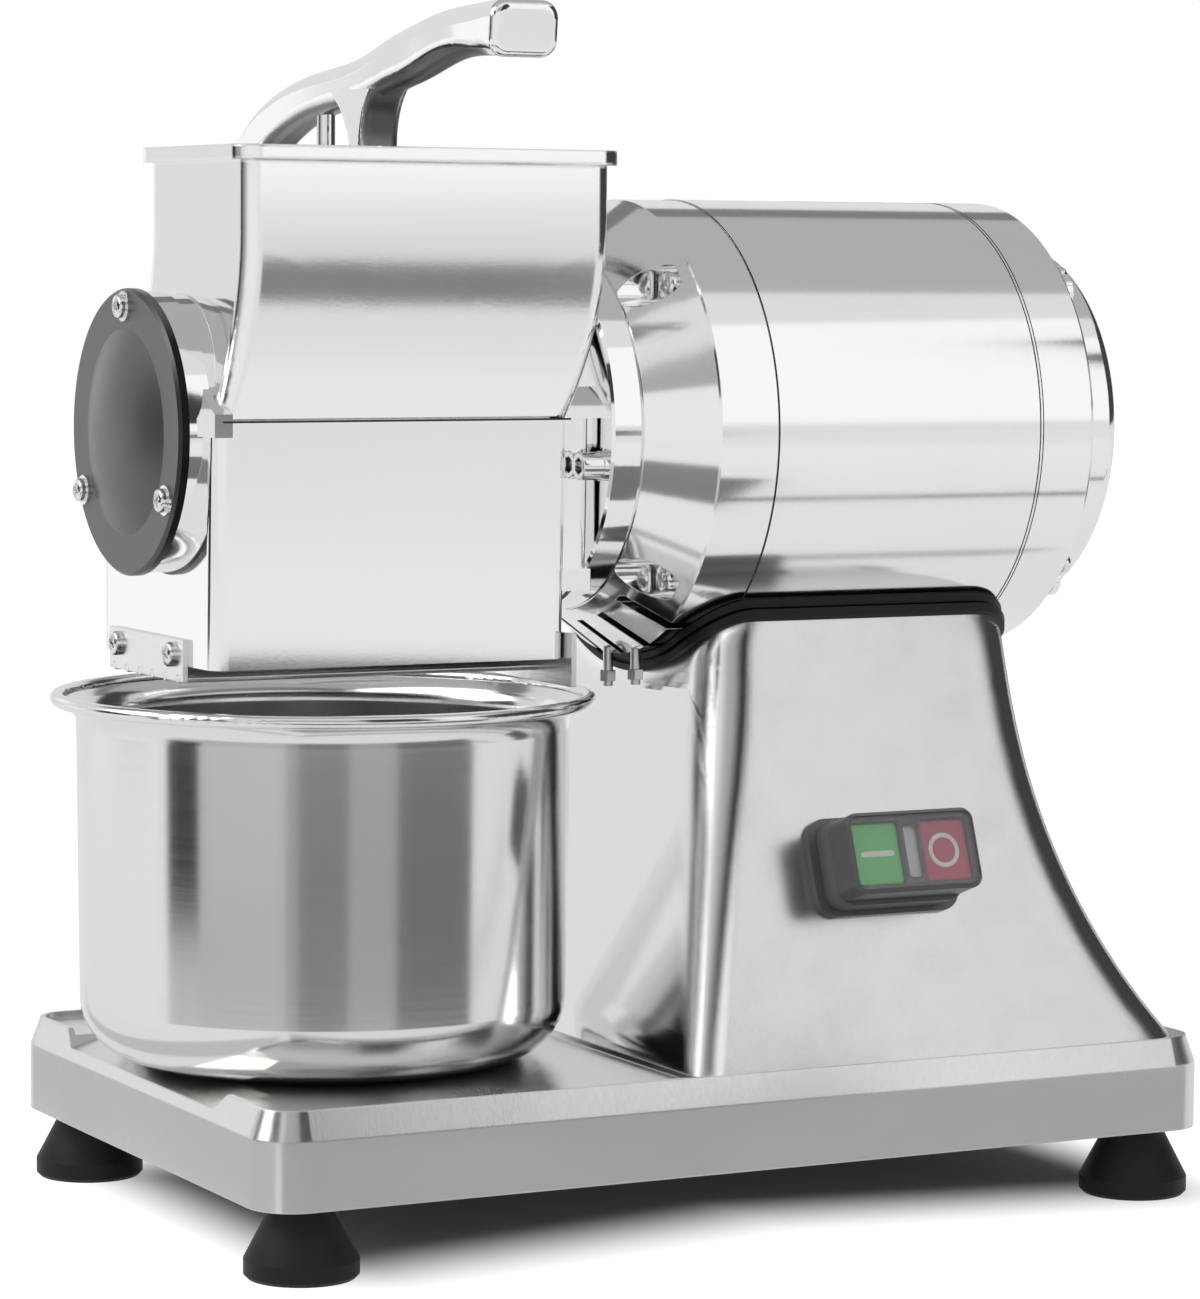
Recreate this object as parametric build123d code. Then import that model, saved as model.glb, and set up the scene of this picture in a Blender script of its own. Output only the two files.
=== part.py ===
from build123d import *
import os
from math import cos, radians, sin, sqrt, tan

# Electric hard-cheese grater. Millimetres, +Z up, +X along the shaft from the head to the motor,
# -Y towards the operator. The origin lies on the floor under the middle of the base.

# Shared clearances
seat_gap = 0.05          # round pieces that sit in each other
running_gap = 0.05       # shaft, seal and hinge pin
slide_gap = 0.4          # pieces that slide past each other
turn_gap = 0.5           # lever between its ears

# Base and pedestal
base_length = 400.0
base_depth = 248.0
base_corner_radius = 17.0
foot_height = 27.0
base_wall_top = 52.4
rim_height = 63.0
rim_land = 2.0
tray_floor = 60.7
deck_thickness = 5.0
base_wall = 6.0
front_lean = 19.74       # degrees, front and rear faces and the bevel of the base
scoop_half_width = 64.0
scoop_run = 22.0
scoop_drop = 4.2
scoop_end_run = 21.2
pedestal_left = 11.0
pedestal_right = 145.0
pedestal_top = 223.0
pedestal_crest = 240.0
left_lean = 13.1         # degrees, left flank
flare_top = 190.0        # where the right flank starts to flare
flank_radius = 17.0
foot_corner_radius = 3.0
corner_full_height = 180.0
pedestal_wall = 6.0
saddle_wall = 7.0
section_count = 7

# Feet and bottom cover
foot_inset_x = 22.2
foot_inset_y = 20.6
foot_radius = 20.9
foot_neck_radius = 10.5
foot_band = 7.0
foot_edge = 1.5
foot_screw_radius = 3.0
foot_screw_head_radius = 5.5
foot_screw_head = 4.0
foot_pocket_radius = 7.0
foot_pocket = 12.0
foot_screw_reach = 14.0
foot_hole_end = 1.5
foot_boss_radius = 9.0
cover_thickness = 1.5
cover_ledge = 3.0

# Motor
axis_height = 297.6
motor_radius = 88.25
motor_wall = 4.0
tube_start = 23.6
tube_end = 139.75
bell_face = -24.5
bell_face_radius = 70.8
bell_shoulder = -1.5
bell_radius = 88.0
bell_bevel = 0.7
spigot_length = 8.0
bell_wall = 5.0
bell_cavity_start = 8.0
bell_cavity_radius = 66.0
bell_web = 7.0
hub_radius = 30.0
bell_screw_circle = 78.0
bell_screw_count = 4
bell_pocket_radius = 8.0
bell_pocket_floor = -5.0
bell_screw_radius = 3.0
bell_screw_head_radius = 5.5
bell_screw_head = 4.2
bell_screw_reach = 18.0
louvre_count = 6
louvre_width = 5.0
louvre_step = 13.0       # degrees
louvre_start = -19.0
louvre_end = 16.0
louvre_floor = 73.0
stud_radius = 2.0
stud_length = 13.0
stud_sink = 5.0
stud_nut_radius = 3.4
stud_nut = 4.0
stud_places = ((-2.0, 0.0), (0.0, -19.0))
rear_cap_end = 165.0
rear_web_start = 141.0
rear_web = 8.0
rear_hub_radius = 26.0
rear_rim_wall = 5.0
rear_ring = 5.0          # ring that closes the cap round the fan cover
rear_edge = 2.0
end_cover_end = 186.4
end_cover_radius = 72.0
end_cover_edge = 4.5
end_cover_wall = 3.0
end_cover_lip = 4.0
end_ear = 3.0
end_ear_radius = 7.0
end_cover_slots = 12
end_slot_width = 6.0
end_slot_inner = 26.0
end_slot_outer = 60.0
end_screw_count = 4
end_screw_circle = 80.0
end_screw_angle = 42.0    # degrees above the front, first screw
end_screw_radius = 2.0
end_screw_head_radius = 4.0
end_screw_head = 4.0
end_screw_reach = 7.0
stator_start = 46.0
stator_end = 114.0
stator_bore_radius = 50.0
air_gap = 0.6
winding_outer = 79.0
winding_inner = 54.0
winding_length = 11.0
rotor_shaft_radius = 13.0
front_shaft_radius = 10.0
rear_shaft_radius = 8.5
fan_shaft_radius = 7.0
drum_shaft_radius = 9.0
drum_thread_radius = 6.0
seal_outer_radius = 17.5
seal_length = 7.0
front_bearing_radius = 23.5
front_bearing_width = 14.0
rear_bearing_radius = 20.0
rear_bearing_width = 12.0
rear_bearing_lip = 1.0
bearing_groove = 0.6
groove_share = 0.2       # of the height between the two races
fan_hub_radius = 14.0
fan_radius = 68.0
fan_plate = 2.5
fan_blade_height = 8.0
fan_blade_thickness = 2.5
fan_blade_root = 0.5
fan_blades = 8
fan_start = 151.5
shaft_tail = 163.0

# Gasket between motor and pedestal
gasket_thickness = 7.0
gasket_end = 5.0         # lips beyond the flanks of the pedestal
gasket_upper_inset = 1.6 # edge of the upper lip behind the front face
gasket_lower_lip = 0.8   # lower lip in front of the front face
gasket_groove = 2.0      # depth of the groove between the lips
gasket_lip_height = 2.5
mount_bolt_radius = 4.0
mount_bolt_head_radius = 6.5
mount_bolt_head = 5.3
mount_bolt_places = (38.0, 126.0)
mount_bolt_reach = 3.0

# Head: chute box, barrel, hopper and flange
box_left = -193.3
box_right = -49.9
box_front = -60.0
box_rear = 50.7
box_corner = 6.3
box_bottom = 213.4
box_top = 303.2
box_draft = 2.0   # the front leans back by this at the bottom
chute_joint = 257.0   # top of the chute, just below the bore of the drum
chute_wall = 5.5
chute_top = 268.0
bore_radius = 40.5
bore_end = -52.0
barrel_radius = 51.0
boss_radius = 52.0
boss_face = -200.0
boss_length = 9.0
neck_front = -48.0
neck_rear = 42.0
neck_bottom = 238.0
neck_top = 345.0
neck_overlap = 8.0
neck_edge = 1.0
flange_radius = 70.3
flange_start = -37.5
flange_edge = 1.0
end_wall = 7.0
cove_radius = 30.0
register_radius = 30.0
register_depth = 3.0
shaft_bore_radius = 12.0
hopper_left = -181.3
hopper_right = -33.0
hopper_front = -60.0
hopper_rear = 33.0
hopper_corner = 6.5
hopper_wall = 4.0
hopper_bend = 372.0      # below this height the walls curve to the left
hopper_top = 402.8
hopper_stations = 5
foot_left = -191.6
foot_right = -48.5
foot_front = -57.2
foot_rear = 40.0
rim_overhang = 3.7
rim_thickness = 5.5
throat_left = -185.0
throat_right = -54.0
throat_front = -36.0
throat_rear = 31.0
throat_height = 312.0
head_screw_circle = 63.3
head_screw_angles = (190.9, -10.9)   # degrees from +Y towards +Z
head_screw_radius = 3.0
head_screw_head_radius = 5.0
head_screw_head = 8.0
head_screw_reach = 12.0
head_socket_radius = 2.6
head_socket_depth = 4.0
spring_washer_radius = 5.6
spring_washer = 1.8

# End cap of the drum chamber
cap_radius = 53.0
cap_thickness = 4.0
cap_edge = 1.2
cap_dome_radius = 38.0
cap_dome_rise = 6.5
cap_spigot = 3.0
cap_screw_circle = 46.3
cap_screw_count = 3
cap_screw_radius = 2.0
cap_screw_head_radius = 4.4
cap_screw_head = 3.2
cap_screw_reach = 9.0
cap_washer_radius = 5.6
cap_washer = 1.0

# Grating drum
drum_radius = 36.5
drum_wall = 3.0
drum_left = -186.0
drum_right = -56.0
drum_web = 5.0
drum_hub_radius = 16.0
tooth_height = 1.5
tooth_base = 4.2
tooth_length = 3.6
tooth_rows = 14
tooth_columns = 10
tooth_pitch = 12.0
tooth_sink = 0.8
key_width = 5.0
key_height = 3.0
drum_nut_radius = 10.0
drum_nut = 8.0
shaft_tip = 2.0
shaft_chamfer = 1.0

# Finger guard under the chute
guard_plate = 2.0
guard_front = -35.0
guard_rear = 37.0
guard_rod_radius = 1.5
guard_rod_drop = 5.0     # rods below the chute
guard_notch = 0.9        # lower edge of the left plate below the rods
guard_rod_count = 6
guard_rod_inset = 5.0
guard_screw_rise = 3.8   # screws above the lower edge of the chute
guard_screw_margin = 5.8
guard_screw_places = (28.5, -24.4)
guard_screw_radius = 2.2
guard_screw_head_radius = 4.6
guard_screw_head = 3.0
guard_screw_reach = 4.0
guard_right_front = -62.0
guard_right_drop = 5.4   # lower edge of the right plate below the rods

# Press lever, its hinge and the presser
lever_middle = -107.0
lever_width = 16.0
hinge_y = 98.0
hinge_z = 397.0
hinge_boss_radius = 13.0
hinge_pin_radius = 4.0
ear_thickness = 7.0
ear_radius = 8.0
ear_root_bottom = 346.0
ear_root_top = 396.0
ear_under_angle = 60.0   # degrees, where the straight underside leaves the round end
hinge_ring_radius = 6.0
hinge_ring = 1.5
hinge_pin_end = 1.0
stem_front = -14.5
stem_rear = -1.0
stem_straight_top = 400.0
stem_corner = 4.0
# Sections where the stem widens into the arm: rise above the straight stem, growth to the front and rear
stem_stations = ((12.0, 0.8, 4.5), (25.0, 9.0, 20.0))
# Sections of the arm: distance in front of the hinge, rise above it, height, width beyond the lever's, corner
arm_stations = (
    (-1.0, 4.0, 20.0, 0.0, 5.0),
    (10.0, 13.0, 18.0, 0.0, 5.0),
    (38.0, 23.0, 17.0, 0.0, 5.5),
    (68.0, 28.2, 16.1, 0.0, 6.0),
    (98.0, 31.0, 17.0, 0.0, 6.5),
    (129.0, 37.2, 19.3, 0.0, 7.0),
    (158.0, 42.8, 19.6, 0.0, 7.3),
    (186.0, 46.6, 18.1, 1.0, 7.3),
    (208.0, 46.8, 18.8, 4.0, 7.0),
    (224.0, 46.5, 19.6, 9.2, 6.5),
    (233.1, 45.5, 20.8, 10.6, 6.0),
)
grip_edge = 3.2
presser_left = -175.5
presser_right = -51.0
presser_front = -37.0
presser_rear = 24.0
presser_bottom = 326.0
presser_top = 352.0
presser_corner = 5.0
presser_gap = 2.5
presser_screw_radius = 3.0
presser_screw_head_radius = 5.5
presser_screw_head = 3.3
presser_screw_reach = 20.0
stop_pin_y = 36.0
stop_pin_radius = 3.5
stop_pin_gap = 0.3
stop_pin_top = 420.0

# Switch on the leaning front face
switch_x = 65.5
switch_up_slope = 86.0   # from the foot of the leaning face to the middle of the switch
plate_width = 62.0
plate_height = 38.0
plate_thickness = 3.0
plate_corner = 8.0
boot_width = 55.0
boot_height = 34.0
boot_end = 13.0
boot_corner = 7.0
bezel_width = 56.0
bezel_height = 31.0
bezel_end = 28.0
bezel_corner = 5.0
bezel_edge = 1.5
button_width = 20.5
button_height = 23.6
button_corner = 1.5
button_face = 24.0
button_travel = 3.0
button_rest_gap = 0.6
lens_width = 6.6
lens_height = 20.0
switch_web = 0.9
window_width = 52.6
window_height = 27.6
window_thickness = 1.2
window_sink = 0.4
block_width = 44.0
block_height = 24.0
block_depth = 28.0
block_face = 10.4
block_gap = 1.0
contact_pin_radius = 3.0
contact_pin_length = 5.0

# Pieces under the deck
capacitor_radius = 18.0
capacitor_height = 72.0
capacitor_x = 72.0
terminal_x = 122.0
terminal_length = 42.0
terminal_depth = 20.0
terminal_height = 16.0
terminal_corner = 1.0
terminal_ways = 4
terminal_hole_radius = 2.5
gland_x = 120.0
gland_height = 40.5
gland_thread_radius = 8.0
gland_flange_radius = 10.5
gland_flange = 3.0
gland_dome = 9.0
gland_lip = 1.5
gland_bore_radius = 4.0
gland_nut = 4.0

# Bowl
bowl_x = -123.3
bowl_radius = 93.3
bowl_taper = 1.2
bowl_bottom_gap = 0.3
bowl_wall = 1.0
bowl_fillet = 23.0
bowl_neck_height = 186.5
bowl_rim_radius = 103.0
bowl_rim_height = 196.8
bowl_bead_radius = 2.6

# Sizes that follow from the ones above
lean_slope = tan(radians(front_lean))
saddle_radius = motor_radius + gasket_thickness
tube_bore = motor_radius - motor_wall
bearing_start = bell_face + register_depth + seal_length
cap_back = boss_face
cap_face = boss_face - cap_thickness
rear_bearing_start = rear_web_start + rear_web - rear_bearing_lip - rear_bearing_width
bowl_bottom = tray_floor + bowl_bottom_gap
guard_rod_height = box_bottom - guard_rod_drop
guard_bottom = guard_rod_height - guard_notch
guard_right_bottom = guard_rod_height - guard_right_drop
guard_screw_height = box_bottom + guard_screw_rise
guard_top = guard_screw_height + guard_screw_margin
motor_axis = Axis((0, 0, axis_height), (1, 0, 0))
tooth_tip_radius = drum_radius + tooth_height


def rod_x(radius, start, end, y=0.0, z=axis_height):
    """Cylinder along X between two x values."""
    return Pos((start + end) / 2, y, z) * Rot(0, -90, 0) * Cylinder(radius, end - start)


def ring_x(outer, inner, start, end, y=0.0, z=axis_height):
    """Plain ring along X."""
    return rod_x(outer, start, end, y, z) - rod_x(inner, start, end, y, z)


def rod_z(radius, bottom, top, x, y):
    """Upright cylinder between two heights."""
    return Pos(x, y, (bottom + top) / 2) * Cylinder(radius, top - bottom)


def turned(points):
    """Solid turned about the shaft from (x, radius) points."""
    outline = Polyline(*[(x, 0, axis_height + radius) for x, radius in points], close=True)
    return revolve(make_face(outline), motor_axis, 360)


def plan(left, right, front, rear, height, corner):
    """Rounded rectangle at a height."""
    place = Pos((left + right) / 2, (front + rear) / 2, height)
    return place * RectangleRounded(right - left, rear - front, corner)


def block(left, right, front, rear, bottom, top, corner):
    """Upright block with rounded vertical edges."""
    return extrude(plan(left, right, front, rear, bottom, corner), amount=top - bottom)


def around(count, radius, first=0.0):
    """Points (y, z) on a circle about the shaft, angles from +Y towards +Z."""
    for index in range(count):
        angle = radians(first + 360 * index / count)
        yield radius * cos(angle), axis_height + radius * sin(angle)


def pan_screw(radius, head_radius, head, face, reach, y, z):
    """Pan-head screw along X whose head stands on a face that looks to -X."""
    return rod_x(head_radius, face - head, face, y, z) + rod_x(radius, face, face + reach, y, z)


def group(solids):
    """Several like pieces in one node."""
    return Compound(children=[solid for solid in solids])


# Base and pedestal

def pedestal_half_depth(height):
    return base_depth / 2 - (height - base_wall_top) * lean_slope


def pedestal_left_at(height):
    return pedestal_left - (pedestal_top - height) * tan(radians(left_lean))


def pedestal_right_at(height):
    """Right flank: upright above, then an arc that runs out at the end of the base."""
    if height >= flare_top:
        return pedestal_right
    drop = flare_top - base_wall_top
    spread = base_length / 2 - pedestal_right
    radius = (drop**2 + spread**2) / (2 * spread)
    return pedestal_right + radius - sqrt(radius**2 - (flare_top - height) ** 2)


def pedestal_section(height, inset):
    """Section of the pedestal: round right corners, left corners that sharpen towards the foot."""
    left = pedestal_left_at(height) + inset
    right = pedestal_right_at(height) - inset
    half = pedestal_half_depth(height) - inset
    share = min(1.0, max(0.0, (height - rim_height) / (corner_full_height - rim_height)))
    left_corner = foot_corner_radius + (flank_radius - foot_corner_radius) * share
    outline = Rectangle(right - left, 2 * half)
    outline = fillet(outline.vertices().group_by(Axis.X)[0], left_corner)
    outline = fillet(outline.vertices().group_by(Axis.X)[-1], flank_radius)
    return Pos((left + right) / 2, 0, height) * outline


def pedestal_body(inset):
    step = (pedestal_crest - base_wall_top) / (section_count - 1)
    heights = [base_wall_top + step * index for index in range(section_count)]
    return loft([pedestal_section(height, inset) for height in heights])


def foot_places():
    for side in (-1, 1):
        for end in (-1, 1):
            yield end * (base_length / 2 - foot_inset_x), side * (base_depth / 2 - foot_inset_y)


def exit_scoop():
    """Ramp that lets the bowl out over the left end, with sloping ends."""
    outer = -base_length / 2
    ramp_points = [
        (outer - scoop_run, tray_floor - 2 * scoop_drop),
        (outer + scoop_run, tray_floor),
        (outer + scoop_run, rim_height + scoop_drop),
        (outer - scoop_run, rim_height + scoop_drop),
    ]
    ramp = extrude(Plane.XZ * make_face(Polyline(*ramp_points, close=True)), base_depth / 2, both=True)
    low = tray_floor - 2 * scoop_drop
    high = rim_height + scoop_drop
    end_points = [
        (-scoop_half_width, low),
        (scoop_half_width, low),
        (scoop_half_width + scoop_end_run, high),
        (-scoop_half_width - scoop_end_run, high),
    ]
    ends = extrude(Plane.YZ * make_face(Polyline(*end_points, close=True)), base_length, both=True)
    return ramp & ends


def base_with_pedestal():
    """Base and pedestal in one, with the cavity that runs through both."""
    half_length = base_length / 2
    half_depth = base_depth / 2
    bevel = (rim_height - base_wall_top) * lean_slope
    slab = block(-half_length, half_length, -half_depth, half_depth,
                 foot_height, base_wall_top, base_corner_radius)
    low = plan(-half_length, half_length, -half_depth, half_depth, base_wall_top, base_corner_radius)
    high = plan(-half_length + bevel, half_length - bevel, -half_depth + bevel, half_depth - bevel,
                rim_height, base_corner_radius - bevel)
    slab += loft([low, high])
    edge = bevel + rim_land
    tray_right = (pedestal_left + pedestal_left_at(rim_height)) / 2
    slab -= block(-half_length + edge, tray_right, -half_depth + edge, half_depth - edge,
                  tray_floor, rim_height + rim_land, base_corner_radius - edge)
    slab -= exit_scoop()
    casting = slab + pedestal_body(0.0)
    casting -= rod_x(saddle_radius, -half_length, half_length)
    cavity = pedestal_body(pedestal_wall) - rod_x(saddle_radius + saddle_wall, -half_length, half_length)
    cover_top = foot_height + cover_thickness
    under = block(-half_length + base_wall, half_length - base_wall, -half_depth + base_wall,
                  half_depth - base_wall, cover_top, tray_floor - deck_thickness,
                  base_corner_radius - base_wall)
    for x, y in foot_places():
        boss = rod_z(foot_boss_radius, foot_height, flare_top, x, y)
        under -= boss
        cavity -= boss
    rebate = block(-half_length + cover_ledge, half_length - cover_ledge, -half_depth + cover_ledge,
                   half_depth - cover_ledge, foot_height, cover_top, base_corner_radius - cover_ledge)
    casting = casting - cavity - under - rebate
    for x, y in foot_places():
        hole_top = cover_top + foot_screw_reach + foot_hole_end
        casting -= rod_z(foot_screw_radius + seat_gap, foot_height, hole_top, x, y)
    for x in mount_bolt_places:
        casting -= rod_z(mount_bolt_radius + slide_gap, pedestal_crest - saddle_radius, axis_height, x, 0)
    opening = Box(block_width + block_gap, block_height + block_gap, 4 * pedestal_wall)
    casting -= switch_plane.location * opening
    gland_hole = Rot(90, 0, 0) * Cylinder(gland_thread_radius + slide_gap, 4 * base_wall)
    casting -= Pos(gland_x, half_depth, gland_height) * gland_hole
    return casting


def base_casting():
    """Part below the joint, with the tray for the bowl."""
    below = Box(2 * base_length, 2 * base_depth, rim_height, align=(Align.CENTER, Align.CENTER, Align.MIN))
    return base_with_pedestal() & below


def pedestal():
    """Part above the joint, with the saddle for the motor."""
    above = Box(2 * base_length, 2 * base_depth, axis_height, align=(Align.CENTER, Align.CENTER, Align.MIN))
    return base_with_pedestal() & Pos(0, 0, rim_height) * above


def rubber_feet():
    foot_points = [
        (foot_screw_radius + slide_gap, foot_pocket),
        (foot_pocket_radius, foot_pocket),
        (foot_pocket_radius, 0),
        (foot_radius - foot_edge, 0),
        (foot_radius, foot_edge),
        (foot_radius, foot_band),
        (foot_neck_radius, foot_height),
        (foot_screw_radius + slide_gap, foot_height),
    ]
    outline = Polyline(*[(r, 0, z) for r, z in foot_points], close=True)
    foot = revolve(make_face(outline), Axis.Z, 360)
    return group(Pos(x, y, 0) * foot for x, y in foot_places())


def foot_screws():
    top = foot_height + cover_thickness + foot_screw_reach
    screw = rod_z(foot_screw_head_radius, foot_pocket - foot_screw_head, foot_pocket, 0, 0)
    screw += rod_z(foot_screw_radius, foot_pocket, top, 0, 0)
    return group(Pos(x, y, 0) * screw for x, y in foot_places())


def bottom_cover():
    inset = cover_ledge + slide_gap
    sheet = block(-base_length / 2 + inset, base_length / 2 - inset, -base_depth / 2 + inset,
                  base_depth / 2 - inset, foot_height, foot_height + cover_thickness,
                  base_corner_radius - inset)
    for x, y in foot_places():
        sheet -= rod_z(foot_screw_radius + slide_gap, foot_height, rim_height, x, y)
    return sheet


def run_capacitor():
    bottom = foot_height + cover_thickness
    return rod_z(capacitor_radius, bottom, bottom + capacitor_height, capacitor_x, 0)


def terminal_block():
    bottom = foot_height + cover_thickness
    half = terminal_length / 2
    body = block(terminal_x - half, terminal_x + half, -terminal_depth / 2, terminal_depth / 2,
                 bottom, bottom + terminal_height, terminal_corner)
    for index in range(terminal_ways):
        x = terminal_x - half + terminal_length * (index + 0.5) / terminal_ways
        body -= rod_z(terminal_hole_radius, bottom + terminal_height / 2, bottom + terminal_height, x, 0)
    return body


def cable_gland():
    """Gland in the rear wall of the base, with its lock nut inside."""
    face = base_depth / 2
    outline_points = [
        (gland_bore_radius, -base_wall - gland_nut),
        (gland_thread_radius, -base_wall - gland_nut),
        (gland_thread_radius, 0),
        (gland_flange_radius, 0),
        (gland_flange_radius, gland_flange),
        (gland_thread_radius, gland_flange + gland_dome / 2),
        (gland_bore_radius + gland_lip, gland_flange + gland_dome),
        (gland_bore_radius, gland_flange + gland_dome),
    ]
    outline = Polyline(*[(r, 0, z) for r, z in outline_points], close=True)
    body = revolve(make_face(outline), Axis.Z, 360)
    ring = RegularPolygon(gland_flange_radius, 6) - Circle(gland_thread_radius + seat_gap)
    nut = extrude(ring, gland_nut)
    pair = group([body, Pos(0, 0, -base_wall - gland_nut) * nut])
    return Pos(gland_x, face, gland_height) * Rot(-90, 0, 0) * pair


# Motor

def motor_gasket():
    """Rubber between saddle and motor with two lips round its edge and a groove between them."""
    def layer(front, end, inner, outer):
        half = pedestal_half_depth(pedestal_top) + front
        outline = block(pedestal_left - end, pedestal_right + end, -half, half,
                        pedestal_top - saddle_radius, axis_height, flank_radius + end)
        return outline & ring_x(outer, inner, tube_start - tube_end, rear_cap_end)

    inner = motor_radius + seat_gap
    outer = saddle_radius - seat_gap
    gasket = layer(-gasket_upper_inset - gasket_groove, gasket_end - gasket_groove, inner, outer)
    gasket += layer(-gasket_upper_inset, gasket_end, inner, inner + gasket_lip_height)
    gasket += layer(gasket_lower_lip, gasket_end, outer - gasket_lip_height, outer)
    low = pedestal_top - saddle_radius
    hole = mount_bolt_radius + slide_gap
    return gasket - [rod_z(hole, low, axis_height, x, 0) for x in mount_bolt_places]


def mount_bolts():
    seat = axis_height - saddle_radius - saddle_wall
    tip = axis_height - tube_bore + mount_bolt_reach
    bolts = []
    for x in mount_bolt_places:
        head = extrude(RegularPolygon(mount_bolt_head_radius, 6), mount_bolt_head)
        head = Pos(x, 0, seat - mount_bolt_head) * head
        bolts.append(head + rod_z(mount_bolt_radius, seat, tip, x, 0))
    return group(bolts)


def motor_front_bell():
    spigot = tube_bore - seat_gap
    bell = turned([
        (bell_face, register_radius + seat_gap),
        (bell_face, bell_face_radius),
        (bell_shoulder, bell_radius - bell_bevel),
        (bell_shoulder + bell_bevel, bell_radius),
        (tube_start, bell_radius),
        (tube_start, spigot),
        (tube_start + spigot_length, spigot),
        (tube_start + spigot_length, spigot - bell_wall),
        (bell_cavity_start, spigot - bell_wall),
        (bell_cavity_start, bell_cavity_radius),
        (bell_face + bell_web, hub_radius),
        (bearing_start + front_bearing_width, hub_radius),
        (bearing_start + front_bearing_width, front_bearing_radius + seat_gap),
        (bearing_start, front_bearing_radius + seat_gap),
        (bearing_start, seal_outer_radius + seat_gap),
        (bell_face + register_depth, seal_outer_radius + seat_gap),
        (bell_face + register_depth, register_radius + seat_gap),
    ])
    for y, z in around(bell_screw_count, bell_screw_circle, 45):
        bell -= rod_x(bell_pocket_radius, 2 * bell_face, bell_pocket_floor, y, z)
        hole_end = bell_cavity_start + spigot_length
        bell -= rod_x(bell_screw_radius + seat_gap, bell_pocket_floor, hole_end, y, z)
    for index in range(louvre_count):
        angle = 180 + louvre_step * (index - (louvre_count - 1) / 2)
        depth = motor_radius - louvre_floor
        slot = Box(louvre_end - louvre_start, louvre_width, 2 * depth)
        place = Pos((louvre_start + louvre_end) / 2, 0, motor_radius)
        bell -= Pos(0, 0, axis_height) * Rot(angle, 0, 0) * place * slot
    for x, y in stud_places:
        bell -= rod_z(stud_radius + seat_gap, stud_top(y) - stud_sink - stud_length, stud_top(y), x, y)
    for angle in head_screw_angles:
        y, z = head_screw_place(angle)
        bell -= rod_x(head_screw_radius + seat_gap, bell_face, bell_face + head_screw_reach, y, z)
    return bell


def stud_top(y):
    return axis_height - sqrt(bell_radius**2 - y**2) + stud_sink


def bell_studs():
    studs = []
    for x, y in stud_places:
        low = stud_top(y) - stud_sink - stud_length
        stud = rod_z(stud_radius, low, stud_top(y), x, y)
        nut = Pos(x, y, low + stud_nut / 2) * extrude(RegularPolygon(stud_nut_radius, 6), stud_nut)
        studs.append(stud + nut)
    return group(studs)


def head_screw_place(angle):
    turn = radians(angle)
    return head_screw_circle * cos(turn), axis_height + head_screw_circle * sin(turn)


def bell_screws():
    screws = []
    for y, z in around(bell_screw_count, bell_screw_circle, 45):
        screws.append(pan_screw(bell_screw_radius, bell_screw_head_radius, bell_screw_head,
                                bell_pocket_floor, bell_screw_reach - slide_gap, y, z))
    return group(screws)


def motor_tube():
    tube = ring_x(motor_radius, tube_bore, tube_start, tube_end)
    for x in mount_bolt_places:
        tube -= rod_z(mount_bolt_radius + seat_gap, axis_height - saddle_radius, axis_height, x, 0)
    return tube


def motor_rear_cap():
    spigot = tube_bore - seat_gap
    web_end = rear_web_start + rear_web
    cap = turned([
        (tube_end, spigot),
        (tube_end, motor_radius),
        (rear_cap_end - rear_edge, motor_radius),
        (rear_cap_end, motor_radius - rear_edge),
        (rear_cap_end, end_cover_radius + seat_gap),
        (rear_cap_end - rear_ring, end_cover_radius + seat_gap),
        (rear_cap_end - rear_ring, motor_radius - rear_rim_wall),
        (web_end, motor_radius - rear_rim_wall),
        (web_end, rear_shaft_radius + slide_gap),
        (web_end - rear_bearing_lip, rear_shaft_radius + slide_gap),
        (web_end - rear_bearing_lip, rear_bearing_radius + seat_gap),
        (rear_bearing_start, rear_bearing_radius + seat_gap),
        (rear_bearing_start, rear_hub_radius),
        (rear_web_start, rear_hub_radius),
        (rear_web_start, spigot - bell_wall),
        (tube_end - spigot_length, spigot - bell_wall),
        (tube_end - spigot_length, spigot),
    ])
    for y, z in end_screw_places():
        cap -= rod_x(end_screw_radius + seat_gap, rear_cap_end - rear_ring, rear_cap_end, y, z)
    return cap


def end_screw_places():
    return around(end_screw_count, end_screw_circle, 180 - end_screw_angle)


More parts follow.
